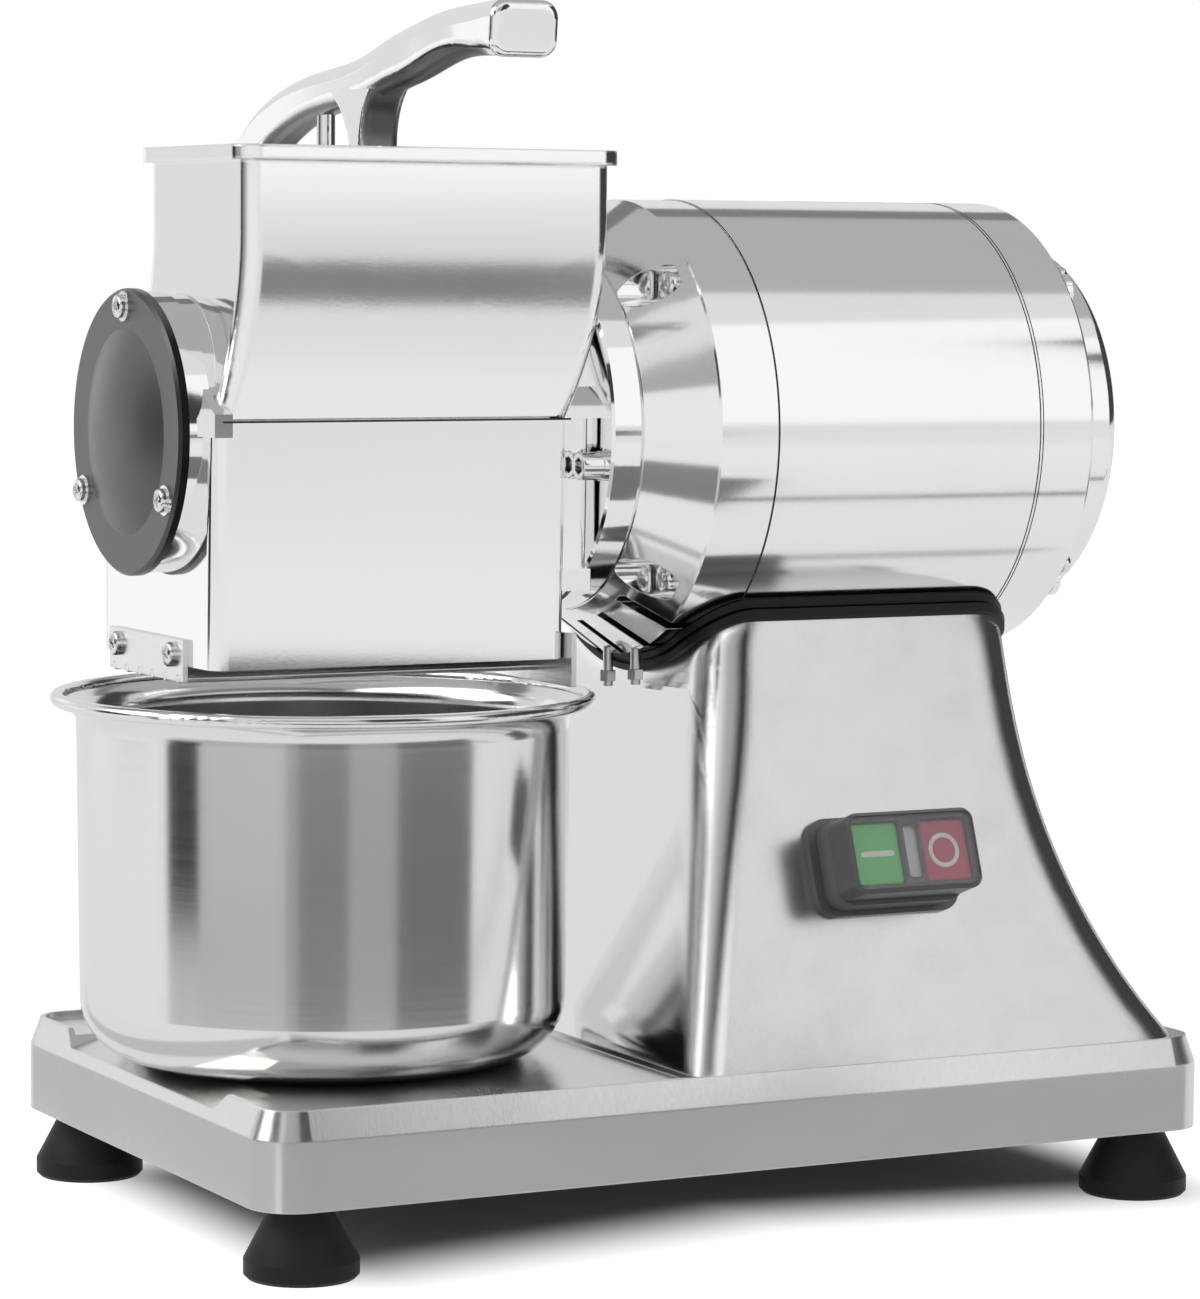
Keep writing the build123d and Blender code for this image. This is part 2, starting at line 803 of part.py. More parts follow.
def rear_end_cover():
    """Round fan cover: a spigot in the ring of the cap, ears for its screws, slots in its end face."""
    inner = end_cover_radius - end_cover_wall
    centre = end_cover_end - end_cover_edge
    shoulder = end_cover_radius - end_cover_edge
    with BuildPart() as cover:
        with BuildSketch(Plane.XZ):
            with BuildLine():
                Polyline(
                    (rear_cap_end - end_cover_lip, axis_height + inner),
                    (rear_cap_end - end_cover_lip, axis_height + end_cover_radius),
                    (centre, axis_height + end_cover_radius),
                )
                CenterArc((centre, axis_height + shoulder), end_cover_edge, 0, 90)
                Polyline(
                    (end_cover_end, axis_height + shoulder),
                    (end_cover_end, axis_height),
                    (end_cover_end - end_cover_wall, axis_height),
                    (end_cover_end - end_cover_wall, axis_height + inner),
                    (rear_cap_end - end_cover_lip, axis_height + inner),
                )
            make_face()
        revolve(axis=motor_axis)
    shell = cover.part
    neck = end_screw_circle - inner
    for turn in (360 * index / end_screw_count - end_screw_angle for index in range(end_screw_count)):
        ear = Rectangle(neck, 2 * end_ear_radius, align=(Align.MIN, Align.CENTER))
        ear = Pos(inner, 0) * ear + Pos(end_screw_circle, 0) * Circle(end_ear_radius)
        ear -= Pos(end_screw_circle, 0) * Circle(end_screw_radius + slide_gap)
        ear -= Circle(inner)
        tab = Plane.YZ * Rot(0, 0, 180 + turn) * extrude(ear, end_ear)
        shell += Pos(rear_cap_end, 0, axis_height) * tab
    length = end_slot_outer - end_slot_inner
    slot = extrude(SlotOverall(length, end_slot_width), 2 * end_cover_wall, both=True)
    for index in range(end_cover_slots):
        place = Pos(0, 0, axis_height) * Rot(360 * index / end_cover_slots, 0, 0)
        middle = (end_slot_outer + end_slot_inner) / 2
        shell -= place * Pos(end_cover_end, middle, 0) * Rot(0, 90, 0) * Rot(0, 0, 90) * slot
    return shell


def end_cover_screws():
    """Screws that hold the fan cover on the ring of the rear cap."""
    seat = rear_cap_end + end_ear
    screws = []
    for y, z in end_screw_places():
        head = rod_x(end_screw_head_radius, seat, seat + end_screw_head, y, z)
        screws.append(head + rod_x(end_screw_radius, seat - end_screw_reach, seat, y, z))
    return group(screws)


def stator_core():
    return ring_x(tube_bore - seat_gap, stator_bore_radius, stator_start, stator_end)


def stator_windings():
    front = ring_x(winding_outer, winding_inner, stator_start - winding_length, stator_start)
    rear = ring_x(winding_outer, winding_inner, stator_end, stator_end + winding_length)
    return group([front, rear])


def bearing(outer, inner, start, width):
    """Ball bearing as a closed ring with a shallow groove on each side."""
    ring = ring_x(outer, inner, start, start + width)
    middle = (outer + inner) / 2
    land = (outer - inner) * groove_share
    for edge in (start - bearing_groove, start + width - bearing_groove):
        ring -= ring_x(middle + land, middle - land, edge, edge + 2 * bearing_groove)
    return ring


def front_bearing():
    bore = front_shaft_radius + running_gap
    return bearing(front_bearing_radius, bore, bearing_start, front_bearing_width)


def rear_bearing():
    bore = rear_shaft_radius + running_gap
    return bearing(rear_bearing_radius, bore, rear_bearing_start, rear_bearing_width)


def shaft_seal():
    start = bell_face + register_depth
    return ring_x(seal_outer_radius, front_shaft_radius + running_gap, start, start + seal_length)


# Turning pieces

def motor_shaft():
    rotor_left = stator_start - winding_length
    rotor_right = stator_end + winding_length
    thread_end = drum_left - drum_nut - shaft_tip
    shaft = turned([
        (thread_end, 0),
        (thread_end, drum_thread_radius - shaft_chamfer),
        (thread_end + shaft_chamfer, drum_thread_radius),
        (drum_left, drum_thread_radius),
        (drum_left, drum_shaft_radius),
        (drum_right, drum_shaft_radius),
        (drum_right, front_shaft_radius),
        (rotor_left - winding_length, front_shaft_radius),
        (rotor_left - winding_length, rotor_shaft_radius),
        (rotor_right, rotor_shaft_radius),
        (rotor_right, rear_shaft_radius),
        (rear_web_start + rear_web, rear_shaft_radius),
        (rear_web_start + rear_web, fan_shaft_radius),
        (shaft_tail, fan_shaft_radius),
        (shaft_tail, 0),
    ])
    return shaft - key_blank(0.0)


def rotor_core():
    return ring_x(stator_bore_radius - air_gap, rotor_shaft_radius + seat_gap, stator_start, stator_end)


def cooling_fan():
    start = fan_start
    fan = ring_x(fan_hub_radius, fan_shaft_radius + seat_gap, start, start + fan_plate + fan_blade_height)
    fan += ring_x(fan_radius, fan_shaft_radius + seat_gap, start, start + fan_plate)
    length = fan_radius - fan_hub_radius
    blade = Box(fan_blade_height, length, fan_blade_thickness)
    x = start + fan_plate + fan_blade_height / 2
    for index in range(fan_blades):
        turn = Pos(0, 0, axis_height) * Rot(360 * index / fan_blades, 0, 0)
        fan += turn * Pos(x, fan_hub_radius + length / 2 - fan_blade_root, 0) * blade
    return fan


def key_blank(gap):
    """Drive key in the right-hand hub of the drum; gap widens it to the size of its slot."""
    top = drum_shaft_radius + key_height / 2 + gap
    low = drum_shaft_radius - key_height / 2
    key = Box(3 * drum_web, key_width + 2 * gap, top - low)
    return Pos(drum_right - 1.5 * drum_web, 0, axis_height + (top + low) / 2) * key


def drum_tooth():
    """Ramp-shaped tooth at the top of the drum."""
    foot = drum_radius - tooth_sink
    points = [(-tooth_base / 2, foot), (tooth_base / 2, foot), (tooth_base / 2, tooth_tip_radius)]
    profile = Plane.YZ * make_face(Polyline(*points, close=True))
    return extrude(profile, tooth_length / 2, both=True)


def grating_drum():
    """Drum shell with one web and staggered rows of cutting teeth."""
    inner = drum_radius - drum_wall
    web_start = drum_right - drum_web
    hub_start = drum_right - 3 * drum_web
    bore = drum_shaft_radius + seat_gap
    drum = turned([
        (drum_left, inner), (drum_left, drum_radius), (drum_right, drum_radius), (drum_right, bore),
        (hub_start, bore), (hub_start, drum_hub_radius), (web_start, drum_hub_radius), (web_start, inner),
    ])
    tooth = drum_tooth()
    teeth = []
    row_length = tooth_pitch * (tooth_columns - 0.5)
    first = (drum_left + drum_right - row_length) / 2 + tooth_pitch / 4
    for row in range(tooth_rows):
        turn = Pos(0, 0, axis_height) * Rot(360 * row / tooth_rows, 0, 0)
        shift = tooth_pitch / 2 if row % 2 else 0.0
        for column in range(tooth_columns):
            teeth.append(turn * Pos(first + shift + tooth_pitch * column, 0, 0) * tooth)
    return (drum + teeth) - key_blank(seat_gap)


def drum_key():
    return key_blank(0.0)


def drum_end_plate():
    inner = drum_radius - drum_wall - seat_gap
    return ring_x(inner, drum_shaft_radius + seat_gap, drum_left, drum_left + drum_web)


def drum_nut_piece():
    blank = extrude(RegularPolygon(drum_nut_radius, 6) - Circle(drum_thread_radius + seat_gap), drum_nut)
    return Pos(drum_left - drum_nut, 0, axis_height) * Rot(0, 90, 0) * blank


# Head

def hopper_heights(bottom):
    """Heights of the sections of the curved part, from its bottom up to the bend."""
    step = (hopper_bend - bottom) / (hopper_stations - 1)
    return [bottom + step * index for index in range(hopper_stations)]


def drift(upper, lower, height, bottom):
    """Wall that leaves its upright line at the bend and curves to another place at the bottom."""
    return upper + (lower - upper) * ((hopper_bend - height) / (hopper_bend - bottom)) ** 2


def hopper_outside():
    """Hopper: upright upper part over a lower part that curves to the left."""
    upper = block(hopper_left, hopper_right, hopper_front, hopper_rear,
                  hopper_bend, hopper_top, hopper_corner)
    sections = []
    for height in hopper_heights(box_top):
        left = drift(hopper_left, foot_left, height, box_top)
        right = drift(hopper_right, foot_right, height, box_top)
        front = drift(hopper_front, foot_front, height, box_top)
        rear = drift(hopper_rear, foot_rear, height, box_top)
        sections.append(plan(left, right, front, rear, height, hopper_corner))
    rim = block(hopper_left - rim_overhang, hopper_right + rim_overhang, hopper_front - rim_overhang,
                hopper_rear + rim_overhang, hopper_top - rim_thickness, hopper_top,
                hopper_corner + rim_overhang)
    return upper + loft(sections) + rim


def hopper_inside():
    """Feed way that narrows in a curve to the throat over the drum."""
    left = hopper_left + hopper_wall
    right = hopper_right - hopper_wall
    front = hopper_front + hopper_wall
    rear = hopper_rear - hopper_wall
    corner = hopper_corner - hopper_wall
    upper = block(left, right, front, rear, hopper_bend, hopper_top + hopper_wall, corner)
    sections = []
    for height in hopper_heights(throat_height):
        sections.append(plan(
            drift(left, throat_left, height, throat_height),
            drift(right, throat_right, height, throat_height),
            drift(front, throat_front, height, throat_height),
            drift(rear, throat_rear, height, throat_height),
            height, corner,
        ))
    throat = plan(throat_left, throat_right, throat_front, throat_rear, throat_height, corner)
    mouth = extrude(throat, amount=axis_height - throat_height)
    return upper + loft(sections) + mouth


def lever_ears():
    """Two ears behind the hopper that carry the hinge pin of the lever."""
    inner = lever_width / 2 + turn_gap
    root = hopper_rear - hopper_wall / 2
    under = radians(ear_under_angle)
    points = [
        (root, ear_root_bottom),
        (root, ear_root_top),
        (hinge_y, hinge_z + ear_radius),
        (hinge_y + ear_radius, hinge_z),
        (hinge_y + ear_radius * cos(under), hinge_z - ear_radius * sin(under)),
    ]
    outline = make_face(Polyline(*points, close=True)) + Pos(hinge_y, hinge_z) * Circle(ear_radius)
    outline -= Pos(hinge_y, hinge_z) * Circle(hinge_pin_radius + seat_gap)
    ear = extrude(Plane.YZ * outline, ear_thickness)
    return [Pos(lever_middle + inner, 0, 0) * ear, Pos(lever_middle - inner - ear_thickness, 0, 0) * ear]


def end_wall_coves():
    """Left end wall of the head: hollow coves lead from the top of the box up to the round barrel."""
    drop = box_top - axis_height
    rise = drop + cove_radius
    reach = barrel_radius + cove_radius
    centre = sqrt(reach**2 - rise**2)
    touch_y = centre * barrel_radius / reach
    touch_z = axis_height + rise * barrel_radius / reach
    walls = []
    for side, edge in ((-1, -box_front), (1, box_rear)):
        outline = Polyline((0, axis_height), (side * edge, axis_height), (side * edge, touch_z),
                           (side * touch_y, touch_z), close=True)
        wall = make_face(outline) - Pos(side * centre, box_top + cove_radius) * Circle(cove_radius)
        walls.append(Pos(box_left, 0, 0) * extrude(Plane.YZ * wall, end_wall))
    return walls


def head_outside():
    """Chute box, drum barrel with its boss, and the neck and flange towards the motor."""
    body = loft([
        plan(box_left, box_right, box_front + box_draft, box_rear, box_bottom, box_corner),
        plan(box_left, box_right, box_front, box_rear, box_top, box_corner),
    ])
    body += rod_x(barrel_radius, boss_face, flange_start)
    body += rod_x(boss_radius, boss_face, boss_face + boss_length)
    body += end_wall_coves()
    body += block(box_right - neck_overlap, flange_start + register_depth, neck_front, neck_rear,
                  neck_bottom, neck_top, neck_edge)
    body += turned([
        (flange_start, 0),
        (flange_start, flange_radius - flange_edge),
        (flange_start + flange_edge, flange_radius),
        (bell_face - flange_edge, flange_radius),
        (bell_face, flange_radius - flange_edge),
        (bell_face, 0),
    ])
    return body


def feed_hopper():
    """Hopper with the ears of the lever. It stands on the box and straddles the barrel."""
    hopper = hopper_outside() + lever_ears() - hopper_inside()
    return hopper - head_outside()


def head_with_chute():
    """Drum housing and discharge chute in one, hollowed and drilled."""
    casting = head_outside()
    casting += rod_x(register_radius, bell_face, bell_face + register_depth - slide_gap)
    casting -= hopper_inside()
    casting -= rod_x(bore_radius, boss_face, bore_end)
    casting -= rod_x(shaft_bore_radius, bore_end, 0)
    casting -= block(throat_left, throat_right, box_front + chute_wall, box_rear - chute_wall,
                     box_bottom - chute_wall, chute_top, box_corner / 2)
    for angle in head_screw_angles:
        y, z = head_screw_place(angle)
        casting -= rod_x(head_screw_radius + slide_gap, flange_start, bell_face, y, z)
    for y, z in around(cap_screw_count, cap_screw_circle, 90):
        casting -= rod_x(cap_screw_radius + seat_gap, boss_face, boss_face + cap_screw_reach, y, z)
    for y in guard_screw_places:
        reach = chute_wall + slide_gap
        for x in (box_left + reach / 2, box_right - reach / 2):
            casting -= rod_x(guard_screw_radius + seat_gap, x - reach, x + reach, y, guard_screw_height)
    return casting


def chute_space():
    """Room below the joint, as wide as the box and deeper than it."""
    reach = box_rear - box_front
    return Pos((box_left + box_right) / 2, 0, chute_joint) * Box(
        box_right - box_left, 2 * reach, reach, align=(Align.CENTER, Align.CENTER, Align.MAX))


def head_casting():
    """Part above the joint: drum housing with neck and flange."""
    return head_with_chute() - chute_space()


def discharge_chute():
    """Part below the joint: four walls that lead the cheese down to the bowl."""
    return head_with_chute() & chute_space()


def head_screws():
    """Socket head screws that hold the head on the motor."""
    face = flange_start - spring_washer
    screws = []
    for angle in head_screw_angles:
        y, z = head_screw_place(angle)
        reach = bell_face + head_screw_reach - slide_gap - face
        screw = pan_screw(head_screw_radius, head_screw_head_radius, head_screw_head, face, reach, y, z)
        socket = Pos(face - head_screw_head, y, z) * Rot(0, 90, 0)
        socket *= extrude(RegularPolygon(head_socket_radius, 6), head_socket_depth)
        screws.append(screw - socket)
    return group(screws)


def head_spring_washers():
    start = flange_start - spring_washer
    washers = []
    for angle in head_screw_angles:
        y, z = head_screw_place(angle)
        bore = head_screw_radius + slide_gap
        washers.append(ring_x(spring_washer_radius, bore, start, flange_start, y, z))
    return group(washers)


def end_cap():
    """Plastic cap with a shallow dome and a spigot in the bore."""
    dome_radius = (cap_dome_radius**2 + cap_dome_rise**2) / (2 * cap_dome_rise)
    spigot = bore_radius - seat_gap
    with BuildPart() as cap:
        with BuildSketch(Plane.XZ):
            with BuildLine():
                Polyline(
                    (cap_face - cap_dome_rise + cap_thickness, axis_height),
                    (cap_back, axis_height + spigot - 2 * cap_thickness),
                    (cap_back + cap_spigot, axis_height + spigot - cap_thickness),
                    (cap_back + cap_spigot, axis_height + spigot),
                    (cap_back, axis_height + spigot),
                    (cap_back, axis_height + cap_radius),
                    (cap_face + cap_edge, axis_height + cap_radius),
                    (cap_face, axis_height + cap_radius - cap_edge),
                    (cap_face, axis_height + cap_dome_radius),
                )
                RadiusArc(
                    (cap_face, axis_height + cap_dome_radius),
                    (cap_face - cap_dome_rise, axis_height),
                    -dome_radius,
                )
                Line((cap_face - cap_dome_rise, axis_height),
                     (cap_face - cap_dome_rise + cap_thickness, axis_height))
            make_face()
        revolve(axis=motor_axis)
    piece = cap.part
    for y, z in around(cap_screw_count, cap_screw_circle, 90):
        piece -= rod_x(cap_screw_radius + slide_gap, cap_face, cap_back, y, z)
    return piece


def end_cap_screws():
    face = cap_face - cap_washer
    reach = cap_washer + cap_thickness + cap_screw_reach - slide_gap
    places = around(cap_screw_count, cap_screw_circle, 90)
    return group(pan_screw(cap_screw_radius, cap_screw_head_radius, cap_screw_head, face, reach, y, z)
                 for y, z in places)


def end_cap_washers():
    bore = cap_screw_radius + slide_gap
    places = around(cap_screw_count, cap_screw_circle, 90)
    return group(ring_x(cap_washer_radius, bore, cap_face - cap_washer, cap_face, y, z) for y, z in places)


# Finger guard

def guard_rod_places():
    first = guard_front + guard_rod_inset
    step = (guard_rear - guard_front - 2 * guard_rod_inset) / (guard_rod_count - 1)
    for index in range(guard_rod_count):
        yield first + step * index


def guard_side(left, right, front, bottom):
    plate_points = [(front, bottom), (front, guard_top), (guard_rear, guard_top), (guard_rear, bottom)]
    outline = Plane.YZ * make_face(Polyline(*plate_points, close=True))
    side = Pos(left, 0, 0) * extrude(outline, right - left)
    for y in guard_rod_places():
        side -= rod_x(guard_rod_radius + seat_gap, left, right, y, guard_rod_height)
    for y in guard_screw_places:
        side -= rod_x(guard_screw_radius + slide_gap, left, right, y, guard_screw_height)
    return side


def guard_left_plate():
    return guard_side(box_left - guard_plate, box_left, guard_front, guard_bottom)


def guard_right_plate():
    return guard_side(box_right, box_right + guard_plate, guard_right_front, guard_right_bottom)


def guard_rods():
    left = box_left - guard_plate
    right = box_right + guard_plate
    return group(rod_x(guard_rod_radius, left, right, y, guard_rod_height) for y in guard_rod_places())


def guard_screws():
    screws = []
    for y in guard_screw_places:
        face = box_left - guard_plate
        reach = guard_plate + guard_screw_reach
        screw = pan_screw(guard_screw_radius, guard_screw_head_radius, guard_screw_head, face, reach,
                          y, guard_screw_height)
        screws.append(screw)
        face = box_right + guard_plate
        screws.append(rod_x(guard_screw_head_radius, face, face + guard_screw_head, y, guard_screw_height)
                      + rod_x(guard_screw_radius, face - reach, face, y, guard_screw_height))
    return group(screws)


# Lever

def arm_sections():
    """Sections of the arm, each square to the line between its neighbours."""
    last = len(arm_stations) - 1
    for index, (ahead, rise, height, extra, corner) in enumerate(arm_stations):
        before = arm_stations[max(index - 1, 0)]
        after = arm_stations[min(index + 1, last)]
        square = (0, before[0] - after[0], after[1] - before[1])
        plane = Plane(origin=(lever_middle, hinge_y - ahead, hinge_z + rise), x_dir=(1, 0, 0), z_dir=square)
        yield plane * RectangleRounded(lever_width + extra, height, corner)


def press_lever():
    """Cast lever: hinge boss, arched arm that widens to the grip, and the stem of the presser."""
    arm = loft(list(arm_sections()))
    arm = fillet(arm.faces().sort_by(Axis.Y)[0].edges(), grip_edge)
    half = lever_width / 2
    left = lever_middle - half
    right = lever_middle + half
    boss = rod_x(hinge_boss_radius, left, right, hinge_y, hinge_z)
    stem = block(left, right, stem_front, stem_rear, presser_top, stem_straight_top, stem_corner)
    flare = loft([
        plan(left, right, stem_front - front, stem_rear + rear, stem_straight_top + rise, stem_corner)
        for rise, front, rear in ((0.0, 0.0, 0.0), *stem_stations)
    ])
    lever = arm + boss + stem + flare
    lever -= rod_x(hinge_pin_radius + running_gap, left - turn_gap, right + turn_gap, hinge_y, hinge_z)
    lever -= rod_z(stop_pin_radius + seat_gap, hopper_top, stop_pin_top, lever_middle, stop_pin_y)
    middle = (stem_front + stem_rear) / 2
    lever -= rod_z(presser_screw_radius + seat_gap, presser_top, presser_top + presser_screw_reach,
                   lever_middle, middle)
    return lever


def lever_stop_pin():
    return rod_z(stop_pin_radius, hopper_top + stop_pin_gap, stop_pin_top, lever_middle, stop_pin_y)


def presser_seat():
    """Height of the screw head in the underside of the presser."""
    return presser_top - 3 * presser_screw_head


def presser_plate():
    """Presser with a hollow underside that follows the drum."""
    plate = block(presser_left, presser_right, presser_front, presser_rear,
                  presser_bottom, presser_top, presser_corner)
    plate -= rod_x(tooth_tip_radius + presser_gap, presser_left, presser_right)
    middle = (stem_front + stem_rear) / 2
    plate -= rod_z(presser_screw_radius + slide_gap, presser_bottom, presser_top, lever_middle, middle)
    plate -= rod_z(presser_screw_head_radius + slide_gap, axis_height, presser_seat(), lever_middle, middle)
    return plate


def presser_screw():
    middle = (stem_front + stem_rear) / 2
    seat = presser_seat()
    top = presser_top + presser_screw_reach - slide_gap
    screw = rod_z(presser_screw_head_radius, seat - presser_screw_head, seat, lever_middle, middle)
    return screw + rod_z(presser_screw_radius, seat, top, lever_middle, middle)


def hinge_reach():
    return lever_width / 2 + turn_gap + ear_thickness


def hinge_pin():
    end = hinge_reach() + hinge_ring + hinge_pin_end
    return rod_x(hinge_pin_radius, lever_middle - end, lever_middle + end, hinge_y, hinge_z)


def hinge_rings():
    """Retaining rings on both ends of the hinge pin."""
    rings = []
    for side in (-1, 1):
        near = lever_middle + side * hinge_reach()
        far = near + side * hinge_ring
        rings.append(ring_x(hinge_ring_radius, hinge_pin_radius + seat_gap, min(near, far), max(near, far),
                            hinge_y, hinge_z))
    return group(rings)


# Switch, drawn on the leaning face with its local Z pointing outwards

slope = radians(front_lean)
switch_y = -base_depth / 2 + switch_up_slope * sin(slope)
switch_z = base_wall_top + switch_up_slope * cos(slope)
outward = (0, -cos(slope), sin(slope))
switch_plane = Plane(origin=(switch_x, switch_y, switch_z), x_dir=(1, 0, 0), z_dir=outward)
button_bottom = block_face + button_travel + button_rest_gap
button_offset = lens_width / 2 + switch_web + slide_gap + button_width / 2
window_top = bezel_end - window_sink


def switch_block(width, height, bottom, top, corner, x=0.0):
    """Rounded block standing on the leaning face."""
    return extrude(Pos(x, 0, bottom) * RectangleRounded(width, height, corner), amount=top - bottom)


def on_face(shape):
    return switch_plane.location * shape


def switch_plate():
    hole = Box(block_width + block_gap, block_height + block_gap, 4 * plate_thickness)
    return on_face(switch_block(plate_width, plate_height, 0, plate_thickness, plate_corner) - hole)


def switch_boot():
    """Boot on the plate, open inside so that the buttons can sink into it."""
    body = switch_block(boot_width, boot_height, plate_thickness, boot_end, boot_corner)
    well_width = 2 * button_offset + button_width + 2 * slide_gap
    well_height = max(button_height + 2 * slide_gap, block_height + block_gap)
    body -= switch_block(well_width, well_height, 0, 2 * boot_end, button_corner)
    return on_face(body)


def switch_bezel():
    """Frame with one opening for each button and the lens, and a rebate for the clear cover."""
    body = switch_block(bezel_width, bezel_height, boot_end, bezel_end, bezel_corner)
    body = chamfer(body.faces().sort_by(Axis.Z)[-1].edges(), bezel_edge)
    gap = 2 * slide_gap
    for x in (-button_offset, button_offset):
        body -= switch_block(button_width + gap, button_height + gap, 0, bezel_end,
                             button_corner + slide_gap, x)
    body -= switch_block(lens_width + seat_gap, lens_height + seat_gap, 0, bezel_end, button_corner)
    rebate = window_top - window_thickness
    body -= switch_block(window_width + slide_gap, window_height + slide_gap, rebate,
                         bezel_end + bezel_edge, bezel_corner - bezel_edge)
    return on_face(body)


def switch_window():
    return on_face(switch_block(window_width, window_height, window_top - window_thickness, window_top,
                                bezel_corner - bezel_edge - slide_gap))


def pilot_lens():
    return on_face(switch_block(lens_width, lens_height, block_face, button_face, button_corner - seat_gap))


def push_button(x):
    cap = switch_block(button_width, button_height, button_bottom, button_face, button_corner, x)
    return on_face(fillet(cap.faces().sort_by(Axis.Z)[-1].edges(), button_corner / 2))


def start_button():
    return push_button(-button_offset)


def stop_button():
    return push_button(button_offset)


def contact_block():
    body = switch_block(block_width, block_height, -block_depth, block_face, button_corner)
    for x in (-button_offset / 2, button_offset / 2):
        body += Pos(x, 0, -block_depth) * Cylinder(contact_pin_radius, contact_pin_length)
    return on_face(body)


# Bowl

def bowl_profile(wall, top):
    """Filled half section of the bowl, drawn smaller by the wall; it ends at a height."""
    foot_edge_radius = bowl_radius - bowl_taper - wall
    bottom = bowl_bottom + wall
    corner = bowl_fillet - wall
    neck = bowl_radius - wall
    lip = bowl_rim_radius - bowl_bead_radius - wall
    with BuildSketch(Plane.XZ) as half:
        with BuildLine():
            Line((0, bottom), (foot_edge_radius - corner, bottom))
            CenterArc((foot_edge_radius - corner, bottom + corner), corner, 270, 90)
            Line((foot_edge_radius, bottom + corner), (neck, bowl_neck_height))
            TangentArc((neck, bowl_neck_height), (lip, bowl_rim_height), tangent=(0, 1))
            Polyline((lip, bowl_rim_height), (lip, top), (0, top), (0, bottom))
        make_face()
    return revolve(half.sketch, Axis.Z, 360)


def bowl():
    """Deep drawn bowl with a flared neck and a rolled rim."""
    shell = bowl_profile(0.0, bowl_rim_height + seat_gap)
    shell -= bowl_profile(bowl_wall, bowl_rim_height + 2 * bowl_bead_radius)
    bead = Pos(0, 0, bowl_rim_height) * Torus(bowl_rim_radius - bowl_bead_radius, bowl_bead_radius)
    return Pos(bowl_x, 0, 0) * (shell + bead)


pieces = {
    "base_casting": base_casting,
    "pedestal": pedestal,
    "bottom_cover": bottom_cover,
    "rubber_feet": rubber_feet,
    "foot_screws": foot_screws,
    "run_capacitor": run_capacitor,
    "terminal_block": terminal_block,
    "cable_gland": cable_gland,
    "motor_gasket": motor_gasket,
    "motor_mount_bolts": mount_bolts,
    "motor_front_bell": motor_front_bell,
    "bell_studs": bell_studs,
    "bell_screws": bell_screws,
    "motor_tube": motor_tube,
    "motor_rear_cap": motor_rear_cap,
    "rear_end_cover": rear_end_cover,
    "end_cover_screws": end_cover_screws,
    "stator_core": stator_core,
    "stator_windings": stator_windings,
    "front_bearing": front_bearing,
    "rear_bearing": rear_bearing,
    "shaft_seal": shaft_seal,
    "motor_shaft": motor_shaft,
    "rotor_core": rotor_core,
    "cooling_fan": cooling_fan,
    "grating_drum": grating_drum,
    "drum_key": drum_key,
    "drum_end_plate": drum_end_plate,
    "drum_nut": drum_nut_piece,
    "head_casting": head_casting,
    "discharge_chute": discharge_chute,
    "feed_hopper": feed_hopper,
    "head_screws": head_screws,
    "head_spring_washers": head_spring_washers,
    "end_cap": end_cap,
    "end_cap_screws": end_cap_screws,
    "end_cap_washers": end_cap_washers,
    "guard_left_plate": guard_left_plate,
    "guard_right_plate": guard_right_plate,
    "guard_rods": guard_rods,
    "guard_screws": guard_screws,
    "press_lever": press_lever,
    "lever_stop_pin": lever_stop_pin,
    "presser_plate": presser_plate,
    "presser_screw": presser_screw,
    "hinge_pin": hinge_pin,
    "hinge_rings": hinge_rings,
    "switch_plate": switch_plate,
    "switch_boot": switch_boot,
    "switch_bezel": switch_bezel,
    "switch_window": switch_window,
    "pilot_lens": pilot_lens,
    "start_button": start_button,
    "stop_button": stop_button,
    "contact_block": contact_block,
    "bowl": bowl,
}

os.makedirs("parts", exist_ok=True)
for name, make in pieces.items():
    export_step(make(), os.path.join("parts", name + ".step"))
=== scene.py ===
"""Looks of the electric grater: finishes, screws and other small pieces, studio and camera."""
import math

import bpy
import numpy as np
from mathutils import Matrix, Vector


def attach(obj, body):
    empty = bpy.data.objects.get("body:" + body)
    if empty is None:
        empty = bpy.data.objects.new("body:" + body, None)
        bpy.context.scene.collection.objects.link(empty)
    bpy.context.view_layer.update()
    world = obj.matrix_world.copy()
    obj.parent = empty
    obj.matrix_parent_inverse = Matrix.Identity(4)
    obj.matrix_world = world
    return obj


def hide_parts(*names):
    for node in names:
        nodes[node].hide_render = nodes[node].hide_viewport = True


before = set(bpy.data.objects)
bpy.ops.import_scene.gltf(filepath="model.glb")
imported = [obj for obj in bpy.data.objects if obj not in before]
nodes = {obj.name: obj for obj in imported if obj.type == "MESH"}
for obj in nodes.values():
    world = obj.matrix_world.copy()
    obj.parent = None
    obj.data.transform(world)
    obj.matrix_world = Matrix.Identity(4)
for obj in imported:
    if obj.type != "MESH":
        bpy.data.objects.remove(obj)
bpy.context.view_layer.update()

MM = 0.001

# Camera, in millimetres and degrees, for a picture of 1200 by 1299 pixels
PICTURE_HEIGHT = 1299.0
FOCAL_PIXELS = 4657.292
CAMERA_YAW = 27.577
CAMERA_PITCH = 4.832
CAMERA_ROLL = 0.456
CAMERA_DISTANCE = 1815.624
CAMERA_TARGET = (-5.596, 0.0, 210.873)
SENSOR = 36.0


# Shared effects as shader node groups

